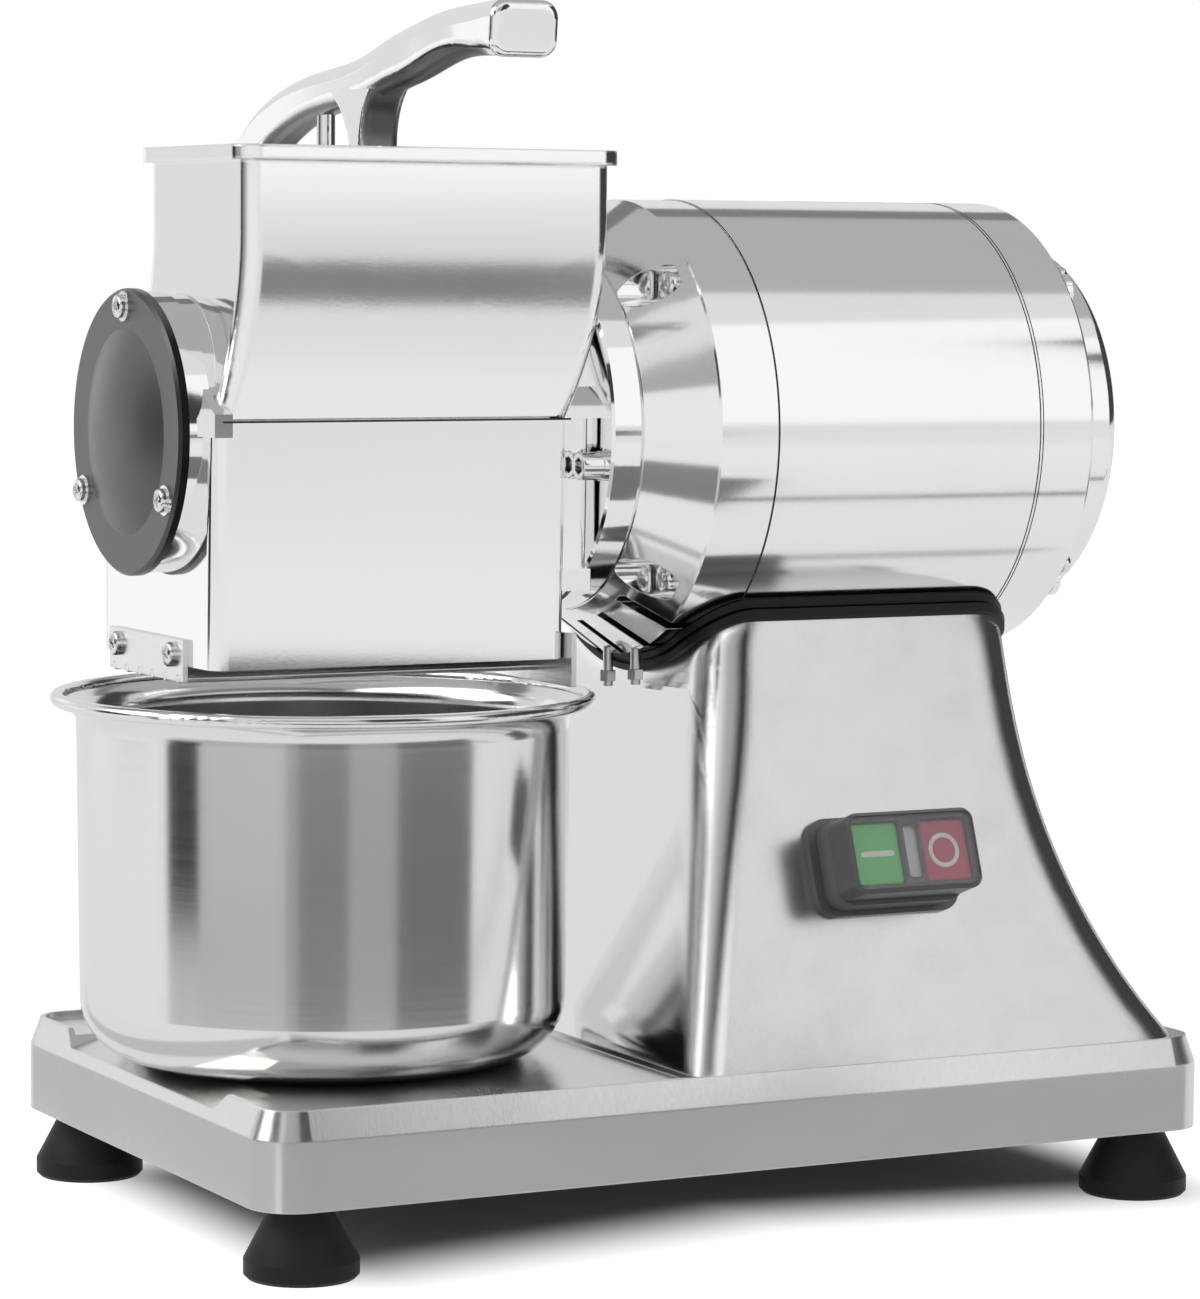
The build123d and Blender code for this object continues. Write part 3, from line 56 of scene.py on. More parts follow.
def shader_group(name, inputs, outputs):
    """Empty shader node group with named sockets: name to (socket type, default)."""
    group = bpy.data.node_groups.new(name, "ShaderNodeTree")
    for label, (kind, value) in inputs.items():
        socket = group.interface.new_socket(label, in_out="INPUT", socket_type=kind)
        if value is not None:
            socket.default_value = value
    for label, kind in outputs.items():
        group.interface.new_socket(label, in_out="OUTPUT", socket_type=kind)
    return group, group.nodes.new("NodeGroupInput"), group.nodes.new("NodeGroupOutput")


def add(tree, kind, **settings):
    """New node with its properties and unlinked input values set by name."""
    node = tree.nodes.new(kind)
    for key, value in settings.items():
        if hasattr(node, key):
            setattr(node, key, value)
        else:
            node.inputs[key.replace("_", " ")].default_value = value
    return node


def metal_grain_group():
    """Grain of a worked metal: noise stretched along the working direction sets roughness and a fine bump,
    slow clouds change roughness and tone, and the edges are eased by a small radius."""
    group, entry, leave = shader_group("metal_grain", {
        "Stretch": ("NodeSocketVector", (1.0, 1.0, 1.0)),
        "Grain Scale": ("NodeSocketFloat", 900.0),
        "Cloud Scale": ("NodeSocketFloat", 14.0),
        "Roughness": ("NodeSocketFloat", 0.18),
        "Grain": ("NodeSocketFloat", 0.05),
        "Cloud": ("NodeSocketFloat", 0.06),
        "Tone": ("NodeSocketFloat", 0.06),
        "Bump": ("NodeSocketFloat", 0.05),
        "Edge": ("NodeSocketFloat", 0.0004),
        "Colour": ("NodeSocketColor", (0.8, 0.8, 0.8, 1.0)),
    }, {"Colour": "NodeSocketColor", "Roughness": "NodeSocketFloat", "Normal": "NodeSocketVector"})
    link = group.links.new
    place = add(group, "ShaderNodeTexCoord")
    stretch = add(group, "ShaderNodeVectorMath", operation="MULTIPLY")
    link(place.outputs["Object"], stretch.inputs[0])
    link(entry.outputs["Stretch"], stretch.inputs[1])
    grain = add(group, "ShaderNodeTexNoise", Detail=3.0, Roughness=0.65)
    link(stretch.outputs[0], grain.inputs["Vector"])
    link(entry.outputs["Grain Scale"], grain.inputs["Scale"])
    cloud = add(group, "ShaderNodeTexNoise", Detail=4.0, Roughness=0.55, Distortion=0.4)
    link(place.outputs["Object"], cloud.inputs["Vector"])
    link(entry.outputs["Cloud Scale"], cloud.inputs["Scale"])

    def centred(value, amount):
        """(value - 0.5) * amount"""
        shift = add(group, "ShaderNodeMath", operation="SUBTRACT")
        link(value, shift.inputs[0])
        shift.inputs[1].default_value = 0.5
        scaled = add(group, "ShaderNodeMath", operation="MULTIPLY")
        link(shift.outputs[0], scaled.inputs[0])
        link(amount, scaled.inputs[1])
        return scaled.outputs[0]

    rough = add(group, "ShaderNodeMath", operation="ADD")
    link(entry.outputs["Roughness"], rough.inputs[0])
    link(centred(grain.outputs["Fac"], entry.outputs["Grain"]), rough.inputs[1])
    clouded = add(group, "ShaderNodeMath", operation="ADD", use_clamp=True)
    link(rough.outputs[0], clouded.inputs[0])
    link(centred(cloud.outputs["Fac"], entry.outputs["Cloud"]), clouded.inputs[1])
    link(clouded.outputs[0], leave.inputs["Roughness"])
    shade = add(group, "ShaderNodeMath", operation="ADD")
    shade.inputs[1].default_value = 1.0
    link(centred(cloud.outputs["Fac"], entry.outputs["Tone"]), shade.inputs[0])
    tint = add(group, "ShaderNodeVectorMath", operation="SCALE")
    link(entry.outputs["Colour"], tint.inputs[0])
    link(shade.outputs[0], tint.inputs["Scale"])
    link(tint.outputs[0], leave.inputs["Colour"])
    edge = add(group, "ShaderNodeBevel", samples=4)
    link(entry.outputs["Edge"], edge.inputs["Radius"])
    bump = add(group, "ShaderNodeBump", Distance=0.0004)
    link(edge.outputs[0], bump.inputs["Normal"])
    link(entry.outputs["Bump"], bump.inputs["Strength"])
    link(grain.outputs["Fac"], bump.inputs["Height"])
    link(bump.outputs[0], leave.inputs["Normal"])
    return group


def facing_group():
    """1 where the skin faces a direction of the object's own frame, 0 where it doesn't."""
    group, entry, leave = shader_group("facing", {
        "Direction": ("NodeSocketVector", (0.0, -1.0, 0.0)),
        "Start": ("NodeSocketFloat", 0.5),
        "End": ("NodeSocketFloat", 0.8),
    }, {"Mask": "NodeSocketFloat"})
    place = add(group, "ShaderNodeTexCoord")
    along = add(group, "ShaderNodeVectorMath", operation="DOT_PRODUCT")
    group.links.new(place.outputs["Normal"], along.inputs[0])
    group.links.new(entry.outputs["Direction"], along.inputs[1])
    ramp = add(group, "ShaderNodeMapRange", interpolation_type="SMOOTHSTEP")
    group.links.new(along.outputs["Value"], ramp.inputs["Value"])
    group.links.new(entry.outputs["Start"], ramp.inputs["From Min"])
    group.links.new(entry.outputs["End"], ramp.inputs["From Max"])
    group.links.new(ramp.outputs[0], leave.inputs["Mask"])
    return group


def hollow_flank_group():
    """Normal of the pedestal's polished flanks: the upright corners rounded over a wide strip, and the left
    flank hollowed, more upright at the top and leaning more at the foot, and turned to the rear."""
    group, entry, leave = shader_group("hollow_flank", {
        "Corner": ("NodeSocketFloat", 0.012),
        "Foot": ("NodeSocketFloat", 0.063),
        "Top": ("NodeSocketFloat", 0.223),
        "Foot Lean": ("NodeSocketFloat", 0.2),
        "Top Lean": ("NodeSocketFloat", -0.19),
        "Turn": ("NodeSocketFloat", 0.11),
    }, {"Normal": "NodeSocketVector"})
    link = group.links.new
    corner = add(group, "ShaderNodeBevel", samples=12)
    link(entry.outputs["Corner"], corner.inputs["Radius"])
    flat = add(group, "ShaderNodeVectorMath", operation="MULTIPLY")
    link(corner.outputs[0], flat.inputs[0])
    flat.inputs[1].default_value = (1.0, 1.0, 0.0)
    level = add(group, "ShaderNodeVectorMath", operation="NORMALIZE")
    link(flat.outputs[0], level.inputs[0])
    skin_place = add(group, "ShaderNodeNewGeometry")
    own = add(group, "ShaderNodeSeparateXYZ")
    link(skin_place.outputs["Normal"], own.inputs[0])
    flank = add(group, "ShaderNodeGroup", node_tree=FACING)
    flank.inputs["Direction"].default_value = (-1.0, 0.0, 0.2)
    flank.inputs["Start"].default_value = 0.6
    flank.inputs["End"].default_value = 0.95
    spot = add(group, "ShaderNodeTexCoord")
    height = add(group, "ShaderNodeSeparateXYZ")
    link(spot.outputs["Object"], height.inputs[0])
    lean = add(group, "ShaderNodeMapRange")
    link(height.outputs["Z"], lean.inputs["Value"])
    ends = {"From Min": "Foot", "From Max": "Top", "To Min": "Foot Lean", "To Max": "Top Lean"}
    for key, source in ends.items():
        link(entry.outputs[source], lean.inputs[key])
    tilt = add(group, "ShaderNodeMath", operation="MULTIPLY_ADD")
    link(lean.outputs[0], tilt.inputs[0])
    link(flank.outputs["Mask"], tilt.inputs[1])
    link(own.outputs["Z"], tilt.inputs[2])
    rise = add(group, "ShaderNodeCombineXYZ")
    link(tilt.outputs[0], rise.inputs["Z"])
    back = add(group, "ShaderNodeMath", operation="MULTIPLY")
    link(entry.outputs["Turn"], back.inputs[0])
    link(flank.outputs["Mask"], back.inputs[1])
    link(back.outputs[0], rise.inputs["Y"])
    bent = add(group, "ShaderNodeVectorMath", operation="ADD")
    link(level.outputs[0], bent.inputs[0])
    link(rise.outputs[0], bent.inputs[1])
    unit = add(group, "ShaderNodeVectorMath", operation="NORMALIZE")
    link(bent.outputs[0], unit.inputs[0])
    link(unit.outputs[0], leave.inputs["Normal"])
    return group


METAL_GRAIN = metal_grain_group()
FACING = facing_group()
HOLLOW_FLANK = hollow_flank_group()


def finish(name):
    """New node material with its Principled shader."""
    material = bpy.data.materials.new(name)
    material.use_nodes = True
    return material, material.node_tree, material.node_tree.nodes["Principled BSDF"]


def metal(name, colour, **values):
    """Metal finish from the shared grain."""
    material, tree, shader = finish(name)
    grain = add(tree, "ShaderNodeGroup", node_tree=METAL_GRAIN)
    grain.inputs["Colour"].default_value = (*colour, 1.0)
    for key, value in values.items():
        grain.inputs[key.replace("_", " ")].default_value = value
    shader.inputs["Metallic"].default_value = 1.0
    tree.links.new(grain.outputs["Colour"], shader.inputs["Base Color"])
    tree.links.new(grain.outputs["Roughness"], shader.inputs["Roughness"])
    tree.links.new(grain.outputs["Normal"], shader.inputs["Normal"])
    return material


def two_metals(name, colour, values, other_colour, other_values, mask, beyond, normal=None):
    """Metal with a second look where it faces a direction: mask is (direction, start, end); on the pedestal a
    satin finish, on the lever darker metal that is painted shade. The second look lies beyond a plane: beyond
    is (axis, start, end) in metres. A group may give the normal."""
    material, tree, shader = finish(name)
    link = tree.links.new
    where = add(tree, "ShaderNodeGroup", node_tree=FACING)
    for key, value in zip(("Direction", "Start", "End"), mask):
        where.inputs[key].default_value = value
    spot = add(tree, "ShaderNodeTexCoord")
    along = add(tree, "ShaderNodeVectorMath", operation="DOT_PRODUCT")
    link(spot.outputs["Object"], along.inputs[0])
    along.inputs[1].default_value = beyond[0]
    ramp = add(tree, "ShaderNodeMapRange", interpolation_type="SMOOTHSTEP")
    link(along.outputs["Value"], ramp.inputs["Value"])
    ramp.inputs["From Min"].default_value = beyond[1]
    ramp.inputs["From Max"].default_value = beyond[2]
    both = add(tree, "ShaderNodeMath", operation="MULTIPLY")
    link(where.outputs["Mask"], both.inputs[0])
    link(ramp.outputs[0], both.inputs[1])
    share = both.outputs[0]
    grains = []
    for tone, settings in ((colour, values), (other_colour, other_values)):
        grain = add(tree, "ShaderNodeGroup", node_tree=METAL_GRAIN)
        grain.inputs["Colour"].default_value = (*tone, 1.0)
        for key, value in settings.items():
            grain.inputs[key.replace("_", " ")].default_value = value
        grains.append(grain)
    shader.inputs["Metallic"].default_value = 1.0
    for output, target in (("Colour", "Base Color"), ("Roughness", "Roughness"), ("Normal", "Normal")):
        mix = add(tree, "ShaderNodeMix", data_type="FLOAT" if output == "Roughness" else "VECTOR")
        sockets = [socket for socket in mix.inputs if socket.enabled]
        link(share, sockets[0])
        link(grains[0].outputs[output], sockets[1])
        link(grains[1].outputs[output], sockets[2])
        link([socket for socket in mix.outputs if socket.enabled][0], shader.inputs[target])
    if normal:
        link(add(tree, "ShaderNodeGroup", node_tree=normal).outputs["Normal"], shader.inputs["Normal"])
    return material


def moulded(name, colour, roughness, scale=1500.0, bump=0.08, tone=0.12, gloss=0.5, painted_shade_side=None):
    """Moulded plastic or rubber: fine pebbled skin with a little unevenness in tone. It may have a glossy
    coat with painted shade where it faces a direction: there the coat is thinned and the skin darkened by the
    same share. The entry for it is (direction, start, end, share taken off, refractive index of the coat)."""
    material, tree, shader = finish(name)
    grain = add(tree, "ShaderNodeGroup", node_tree=METAL_GRAIN)
    grain.inputs["Colour"].default_value = (*colour, 1.0)
    grain.inputs["Roughness"].default_value = roughness
    grain.inputs["Grain Scale"].default_value = scale
    grain.inputs["Bump"].default_value = bump
    grain.inputs["Tone"].default_value = tone
    shader.inputs["Specular IOR Level"].default_value = gloss
    tone_source = grain.outputs["Colour"]
    # Painted shade: the coat thins and the colour darkens where the skin faces the direction
    if painted_shade_side:
        where = add(tree, "ShaderNodeGroup", node_tree=FACING)
        for key, value in zip(("Direction", "Start", "End"), painted_shade_side):
            where.inputs[key].default_value = value
        left = add(tree, "ShaderNodeMath", operation="MULTIPLY_ADD")
        tree.links.new(where.outputs["Mask"], left.inputs[0])
        left.inputs[1].default_value = -painted_shade_side[3]
        left.inputs[2].default_value = 1.0
        darker = add(tree, "ShaderNodeVectorMath", operation="SCALE")
        tree.links.new(tone_source, darker.inputs[0])
        tree.links.new(left.outputs[0], darker.inputs["Scale"])
        tone_source = darker.outputs[0]
        tree.links.new(left.outputs[0], shader.inputs["Coat Weight"])
        shader.inputs["Coat Roughness"].default_value = roughness
        shader.inputs["Coat IOR"].default_value = painted_shade_side[4]
    tree.links.new(tone_source, shader.inputs["Base Color"])
    tree.links.new(grain.outputs["Roughness"], shader.inputs["Roughness"])
    tree.links.new(grain.outputs["Normal"], shader.inputs["Normal"])
    return material


def clear_cover(name):
    """Thin milky plastic: mostly see-through with a glossy skin."""
    material, tree, shader = finish(name)
    shader.inputs["Base Color"].default_value = (0.86, 0.87, 0.88, 1.0)
    shader.inputs["Roughness"].default_value = 0.22
    shader.inputs["Alpha"].default_value = 0.12
    return material


ALUMINIUM = (0.93, 0.93, 0.935)
CAST = (0.78, 0.775, 0.765)
SATIN = (0.72, 0.715, 0.70)
STEEL = (0.84, 0.83, 0.82)
LACQUER_INDEX = 1.76
FORWARD = (0.0, -1.0, 0.0)
REARWARD = (0.0, 1.0, 0.0)
LEAN = (0.0, -0.94, 0.34)          # outward from the pedestal's leaning front
LEFT_EDGE = (1.0, 0.0, -0.26)      # away from the pedestal's leaning left edge
UNDER = (0.0, -0.6, -0.8)          # outward from the underside of the raised arm
finishes = {
    "base": metal("satin_base", CAST, Roughness=0.24, Grain=0.12, Cloud=0.10, Tone=0.08, Bump=0.03,
                  Stretch=(1.0, 1.0, 0.1), Edge=0.0010),
    "pedestal": two_metals("polished_pedestal", ALUMINIUM,
                           dict(Roughness=0.06, Grain=0.03, Cloud=0.04, Tone=0.04, Bump=0.0),
                           SATIN, dict(Roughness=0.22, Grain=0.10, Cloud=0.16, Cloud_Scale=60.0, Tone=0.10,
                                       Bump=0.0),
                           (LEAN, 0.95, 0.99), (LEFT_EDGE, -0.0345, -0.0305), normal=HOLLOW_FLANK),
    "head": metal("polished_head", ALUMINIUM, Roughness=0.07, Grain=0.03, Cloud=0.04, Tone=0.04, Bump=0.008,
                  Edge=0.0),
    "hopper": metal("polished_hopper", ALUMINIUM, Roughness=0.07, Grain=0.03, Cloud=0.04, Tone=0.04,
                    Bump=0.008, Edge=0.0016),
    "polished": metal("polished_aluminium", ALUMINIUM, Roughness=0.10, Grain=0.05, Cloud=0.05, Tone=0.04,
                      Bump=0.012),
    # The underside of the lever's raised arm is rougher and darker in patches: the darkening is painted shade
    # under the arm
    "lever": two_metals("polished_lever", ALUMINIUM,
                        dict(Roughness=0.09, Grain=0.04, Cloud=0.04, Bump=0.01, Edge=0.0),
                        (0.36, 0.36, 0.365),
                        dict(Roughness=0.36, Grain=0.16, Cloud=0.16, Cloud_Scale=45.0, Tone=0.5, Bump=0.05,
                             Edge=0.0),
                        (UNDER, 0.30, 0.55), (REARWARD, -0.124, -0.112)),
    "tube": metal("polished_tube", ALUMINIUM, Roughness=0.12, Grain=0.08, Bump=0.012,
                  Stretch=(1.0, 0.02, 0.02)),
    "bowl": metal("drawn_stainless", STEEL, Roughness=0.15, Grain=0.08, Bump=0.012,
                  Stretch=(0.02, 0.02, 1.0)),
    "plate": metal("brushed_stainless", STEEL, Roughness=0.24, Grain=0.12, Bump=0.03,
                   Stretch=(1.0, 0.03, 1.0)),
    "steel": metal("plated_steel", STEEL, Roughness=0.11, Grain=0.06, Bump=0.02, Edge=0.0003),
    "core": metal("lamination_steel", (0.3, 0.3, 0.31), Roughness=0.45, Stretch=(1.0, 0.05, 0.05)),
    "copper": metal("varnished_copper", (0.6, 0.3, 0.15), Roughness=0.35),
    "seam": moulded("seam_shadow", (0.03, 0.03, 0.03), 0.6),
    "rubber": moulded("black_rubber", (0.009, 0.009, 0.01), 0.5, gloss=0.3),
    "zinc": metal("zinc_plated_stud", (0.78, 0.78, 0.8), Roughness=0.36, Grain=0.1, Tone=0.12, Bump=0.04),
    # The end cap's side that faces forward is darker and less glossy: painted shade
    "cap": moulded("grey_end_cap", (0.05, 0.05, 0.054), 0.3, bump=0.03, gloss=0.0,
                   painted_shade_side=(FORWARD, 0.55, 0.8, 0.85, LACQUER_INDEX)),
    "plastic": moulded("charcoal_plastic", (0.14, 0.14, 0.145), 0.3),
    "boot": moulded("grey_boot", (0.2, 0.2, 0.205), 0.45),
    "green": moulded("green_plastic", (0.10, 0.60, 0.13), 0.35, bump=0.02),
    "red": moulded("red_plastic", (0.55, 0.03, 0.09), 0.35, bump=0.02),
    "lens": moulded("frosted_lens", (0.62, 0.62, 0.61), 0.3, bump=0.02),
    "white": moulded("white_plastic", (0.88, 0.87, 0.86), 0.4),
    "clear": clear_cover("clear_cover"),
}
node_finish = {
    "base": ["base_casting"],
    "pedestal": ["pedestal"],
    "head": ["head_casting", "discharge_chute", "presser_plate"],
    "hopper": ["feed_hopper"],
    "polished": ["motor_front_bell", "motor_rear_cap", "rear_end_cover"],
    "lever": ["press_lever"],
    "tube": ["motor_tube"],
    "bowl": ["bowl"],
    "plate": ["grating_drum", "drum_end_plate", "guard_left_plate", "guard_right_plate", "guard_rods",
              "bottom_cover"],
    "steel": ["foot_screws", "motor_mount_bolts", "bell_screws", "end_cover_screws",
              "front_bearing", "rear_bearing", "motor_shaft", "drum_key", "drum_nut", "head_screws",
              "head_spring_washers", "end_cap_screws", "end_cap_washers", "guard_screws", "lever_stop_pin",
              "presser_screw", "hinge_pin", "hinge_rings"],
    "zinc": ["bell_studs"],
    "core": ["stator_core", "rotor_core"],
    "copper": ["stator_windings"],
    "rubber": ["rubber_feet", "motor_gasket", "shaft_seal"],
    "boot": ["switch_boot"],
    "cap": ["end_cap"],
    "plastic": ["cable_gland", "cooling_fan", "switch_plate", "switch_bezel", "contact_block"],
    "green": ["start_button"],
    "red": ["stop_button"],
    "lens": ["pilot_lens"],
    "white": ["run_capacitor", "terminal_block"],
    "clear": ["switch_window"],
}


def dress(piece, material):
    """Give a piece one finish all over."""
    piece.data.materials.clear()
    piece.data.materials.append(material)


for key, names in node_finish.items():
    for name in names:
        dress(nodes[name], finishes[key])


# Detail pieces, in millimetres

AXIS = 297.6                      # height of the motor's axis
BOX_TOP = 303.2                   # where the hopper stands on the box
TURN_STEPS = 96                   # points round a screw or a mark
BEND_ROWS = 7                     # along the rounded edge of a screw head
CROWN_ROWS = 42                   # from there to the middle
SCREW_CREASE = 38.0               # sharp edges from this angle, in degrees


def skin(name, grids, body, key, sharp=None):
    """Closed skin over grids of points (rows, columns, 3). The columns run round and meet again; rows that
    shrink to a point are closed there. Faces look outward when the rows run up the outside."""
    corners, faces, first = [], [], 0
    for grid in grids:
        rows, columns = grid.shape[:2]
        index = np.arange(rows * columns).reshape(rows, columns)
        index = np.hstack([index, index[:, :1]])
        quads = np.stack([index[:-1, :-1], index[:-1, 1:], index[1:, 1:], index[1:, :-1]], axis=-1)
        quads = quads.reshape(-1, 4)
        triangles = np.vstack([quads[:, [0, 1, 2]], quads[:, [0, 2, 3]]])
        points, same = np.unique(np.round(grid.reshape(-1, 3), 5), axis=0, return_inverse=True)
        triangles = same.reshape(-1)[triangles]
        flat = ((triangles[:, 0] == triangles[:, 1]) | (triangles[:, 1] == triangles[:, 2])
                | (triangles[:, 2] == triangles[:, 0]))
        corners.append(points)
        faces.append(triangles[~flat] + first)
        first += len(points)
    mesh = bpy.data.meshes.new(name)
    mesh.from_pydata((np.vstack(corners) * MM).tolist(), [], np.vstack(faces).tolist())
    mesh.polygons.foreach_set("use_smooth", np.ones(len(mesh.polygons), dtype=bool))
    if sharp:
        mesh.set_sharp_from_angle(angle=math.radians(sharp))
    piece = bpy.data.objects.new(name, mesh)
    bpy.context.scene.collection.objects.link(piece)
    dress(piece, finishes[key])
    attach(piece, body)
    return piece


def ramp(value, start, end):
    """Smooth step from 0 at start to 1 at end."""
    share = np.clip((value - start) / (end - start), 0.0, 1.0)
    return share * share * (3.0 - 2.0 * share)


def cross_screw(place, way, shank, reach, radius, height, turn):
    """Pan-head screw along X with a cross recess. With s along the profile and a round the axis,
    P = place + way (h(s) - d(s, a)) X + r(s) (cos a Y + sin a Z): (r, h) runs from the shank's end over the
    underside and the rounded side to the crown, and d is the depth of the two crossed slots."""
    edge = 0.35 * height
    bulge = 0.18 * height
    slot_ends = (0.62 * radius, 0.52 * radius)
    slot_sides = (0.20 * radius, 0.13 * radius)
    slot_depth = 0.55 * height
    bend = np.linspace(0.0, 0.5 * np.pi, BEND_ROWS)
    crown = np.linspace(1.0, 0.0, CROWN_ROWS)
    r = np.concatenate([[0.0, shank, shank, radius, radius], radius - edge + edge * np.cos(bend),
                        (radius - edge) * crown[1:]])
    h = np.concatenate([[-reach, -reach, 0.0, 0.0, 0.3 * height],
                        height - edge - bulge + edge * np.sin(bend),
                        height - bulge * crown[1:] ** 2])
    a = np.linspace(0.0, 2.0 * np.pi, TURN_STEPS, endpoint=False)
    r, a = np.meshgrid(r, a, indexing="ij")
    h = np.repeat(h[:, None], a.shape[1], axis=1)
    y, z = r * np.cos(a), r * np.sin(a)
    c, d = math.cos(turn), math.sin(turn)
    across, up = np.abs(c * y + d * z), np.abs(c * z - d * y)
    slots = [ramp(long, *slot_ends) * ramp(wide, *slot_sides) for long, wide in ((across, up), (up, across))]
    h = h - slot_depth * np.maximum(*slots) * (h > 0.5 * height)
    grid = np.stack([place[0] + way * h, place[1] + y, place[2] + z], axis=-1)
    return grid[:, ::-1] if way < 0 else grid


def ring_places(count, circle, first):
    """Places round the motor's axis, as (Y, Z)."""
    turns = np.radians(first + np.arange(count) * 360.0 / count)
    return np.stack([circle * np.cos(turns), AXIS + circle * np.sin(turns)], axis=-1)


def screw_set(node, places, faces, way, **sizes):
    """Screws with cross recesses in place of the plain ones of a node, each turned a little further."""
    first_turn, next_turn = 0.4, 0.7
    grids = [cross_screw((face, y, z), side, turn=first_turn + next_turn * n, **sizes)
             for n, ((y, z), face, side) in enumerate(zip(places, faces, way))]
    piece = skin(node + "_cross", grids, "frame", "steel", SCREW_CREASE)
    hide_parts(node)


END_CAP_FACE, END_CAP_CIRCLE = -205.0, 46.3
BELL_FACE, BELL_CIRCLE = -5.0, 78.0
COVER_FACE, COVER_CIRCLE = 168.0, 80.0
GUARD_LEFT, GUARD_RIGHT = -195.3, -47.9
GUARD_REAR, GUARD_FRONT, GUARD_HEIGHT = 28.5, -24.4, 217.2
screw_set("end_cap_screws", ring_places(3, END_CAP_CIRCLE, 90.0), [END_CAP_FACE] * 3, [-1] * 3,
          shank=2.0, reach=12.0, radius=4.4, height=3.2)
screw_set("bell_screws", ring_places(4, BELL_CIRCLE, 45.0), [BELL_FACE] * 4, [-1] * 4,
          shank=3.0, reach=16.0, radius=5.5, height=4.2)
screw_set("guard_screws", [(y, GUARD_HEIGHT) for y in (GUARD_REAR, GUARD_REAR, GUARD_FRONT, GUARD_FRONT)],
          [GUARD_LEFT, GUARD_RIGHT] * 2, [-1, 1] * 2, shank=2.2, reach=6.0, radius=4.6, height=3.0)
screw_set("end_cover_screws", ring_places(4, COVER_CIRCLE, 42.0), [COVER_FACE] * 4, [1] * 4,
          shank=2.0, reach=7.0, radius=4.0, height=4.0)


def band(radius, start, end, rise):
    """Low ring round the motor: P = (x(t), (R + e(t)) cos a, AXIS + (R + e(t)) sin a), a rectangle in t."""
    x = np.array([start, start, end, end, start])
    e = np.array([-rise, rise, rise, -rise, -rise])
    a = np.linspace(0.0, 2.0 * np.pi, 256, endpoint=False)
    r = radius + e[:, None]
    return np.stack([np.repeat(x[:, None], len(a), axis=1), r * np.cos(a), AXIS + r * np.sin(a)], axis=-1)


# Painted shadow in the joints round the motor: thin dark bands
SEAM_RADIUS, SEAM_RISE = 88.25, 0.04
MOTOR_SEAMS = ((23.35, 23.85), (139.2, 139.6), (140.6, 141.0))  # start and end along the axis
skin("motor_seams", [band(SEAM_RADIUS, start, end, SEAM_RISE) for start, end in MOTOR_SEAMS], "frame", "seam")


def joint_line(left, right, front, height, rise, depth):
    """Thin straight bar along X: the corners of a rectangle in (y, z), run from one end to the other and
    drawn together at both ends."""
    y = front + depth * np.array([-0.5, 0.5, 0.5, -0.5])
    z = height + rise * np.array([-0.5, -0.5, 0.5, 0.5])
    x = np.array([left, left, right, right])[:, None]
    share = np.array([0.0, 1.0, 1.0, 0.0])[:, None]
    return np.stack([x + 0.0 * y, front + share * (y - front), height + share * (z - height)], axis=-1)


# Shadow in the joint between the hopper and the box
joint = joint_line(left=-190.0, right=-50.0, front=-60.05, height=BOX_TOP, rise=0.7, depth=0.5)
skin("hopper_joint", [joint], "frame", "seam")


def socket_screw(place, shank, reach, radius, height, key):
    """Socket head screw along X, its head towards -X. With s along the profile and a round the axis,
    P = place - (h(s) - d(s, a)) X + r(s) (cos a Y + sin a Z): d is the depth of a six-sided socket, which
    starts where the greatest of |y cos k + z sin k| over three directions k falls below half the key's
    width."""
    edge = 0.12 * radius
    socket_sides = (0.54 * key, 0.46 * key)
    socket_depth = 0.55 * height
    bend = np.linspace(0.0, 0.5 * np.pi, BEND_ROWS)
    inward = np.linspace(1.0, 0.0, CROWN_ROWS)
    r = np.concatenate([[0.0, shank, shank, radius, radius], radius - edge + edge * np.cos(bend),
                        (radius - edge) * inward[1:]])
    h = np.concatenate([[-reach, -reach, 0.0, 0.0, 0.5 * height], height - edge + edge * np.sin(bend),
                        np.full(len(inward) - 1, height)])
    a = np.linspace(0.0, 2.0 * np.pi, TURN_STEPS, endpoint=False)
    r, a = np.meshgrid(r, a, indexing="ij")
    y, z = r * np.cos(a), r * np.sin(a)
    sides = np.radians((0.0, 60.0, 120.0))
    across = np.max([np.abs(y * math.cos(k) + z * math.sin(k)) for k in sides], axis=0)
    h = np.repeat(h[:, None], a.shape[1], axis=1)
    h = h - socket_depth * ramp(across, *socket_sides) * (h > 0.6 * height)
    return np.stack([place[0] - h, place[1] + y, place[2] + z], axis=-1)[:, ::-1]


HEAD_SCREW_FACE, HEAD_SCREW_CIRCLE = -39.3, 63.3
HEAD_SCREW_TURNS = (190.9, -10.9)  # round the axis, in degrees
HEAD_SCREW = dict(shank=3.0, reach=12.0, radius=5.2, height=8.5, key=5.4)
head_screw_places = np.vstack([ring_places(1, HEAD_SCREW_CIRCLE, turn) for turn in HEAD_SCREW_TURNS])
head_screws = skin("head_screws_socket",
                   [socket_screw((HEAD_SCREW_FACE, y, z), **HEAD_SCREW) for y, z in head_screw_places],
                   "frame", "steel", SCREW_CREASE)
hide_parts("head_screws")

# Front wall of the neck between the box and the flange
NECK_LEFT, NECK_RIGHT = -57.0, -39.7
NECK_FRONT, NECK_REAR = -60.03, -44.0
NECK_BOTTOM, NECK_TOP = 247.0, BOX_TOP
NECK_CORNER = 6.3
NECK_RECESS = 1.6                 # the wall steps back behind the screw
NECK_STEP = (-54.0, -51.0)        # between these places
NECK_LEAN = 2.0 / 89.8            # as the front of the box
NECK_CREASE = 30.0                # sharp edges from this angle, in degrees


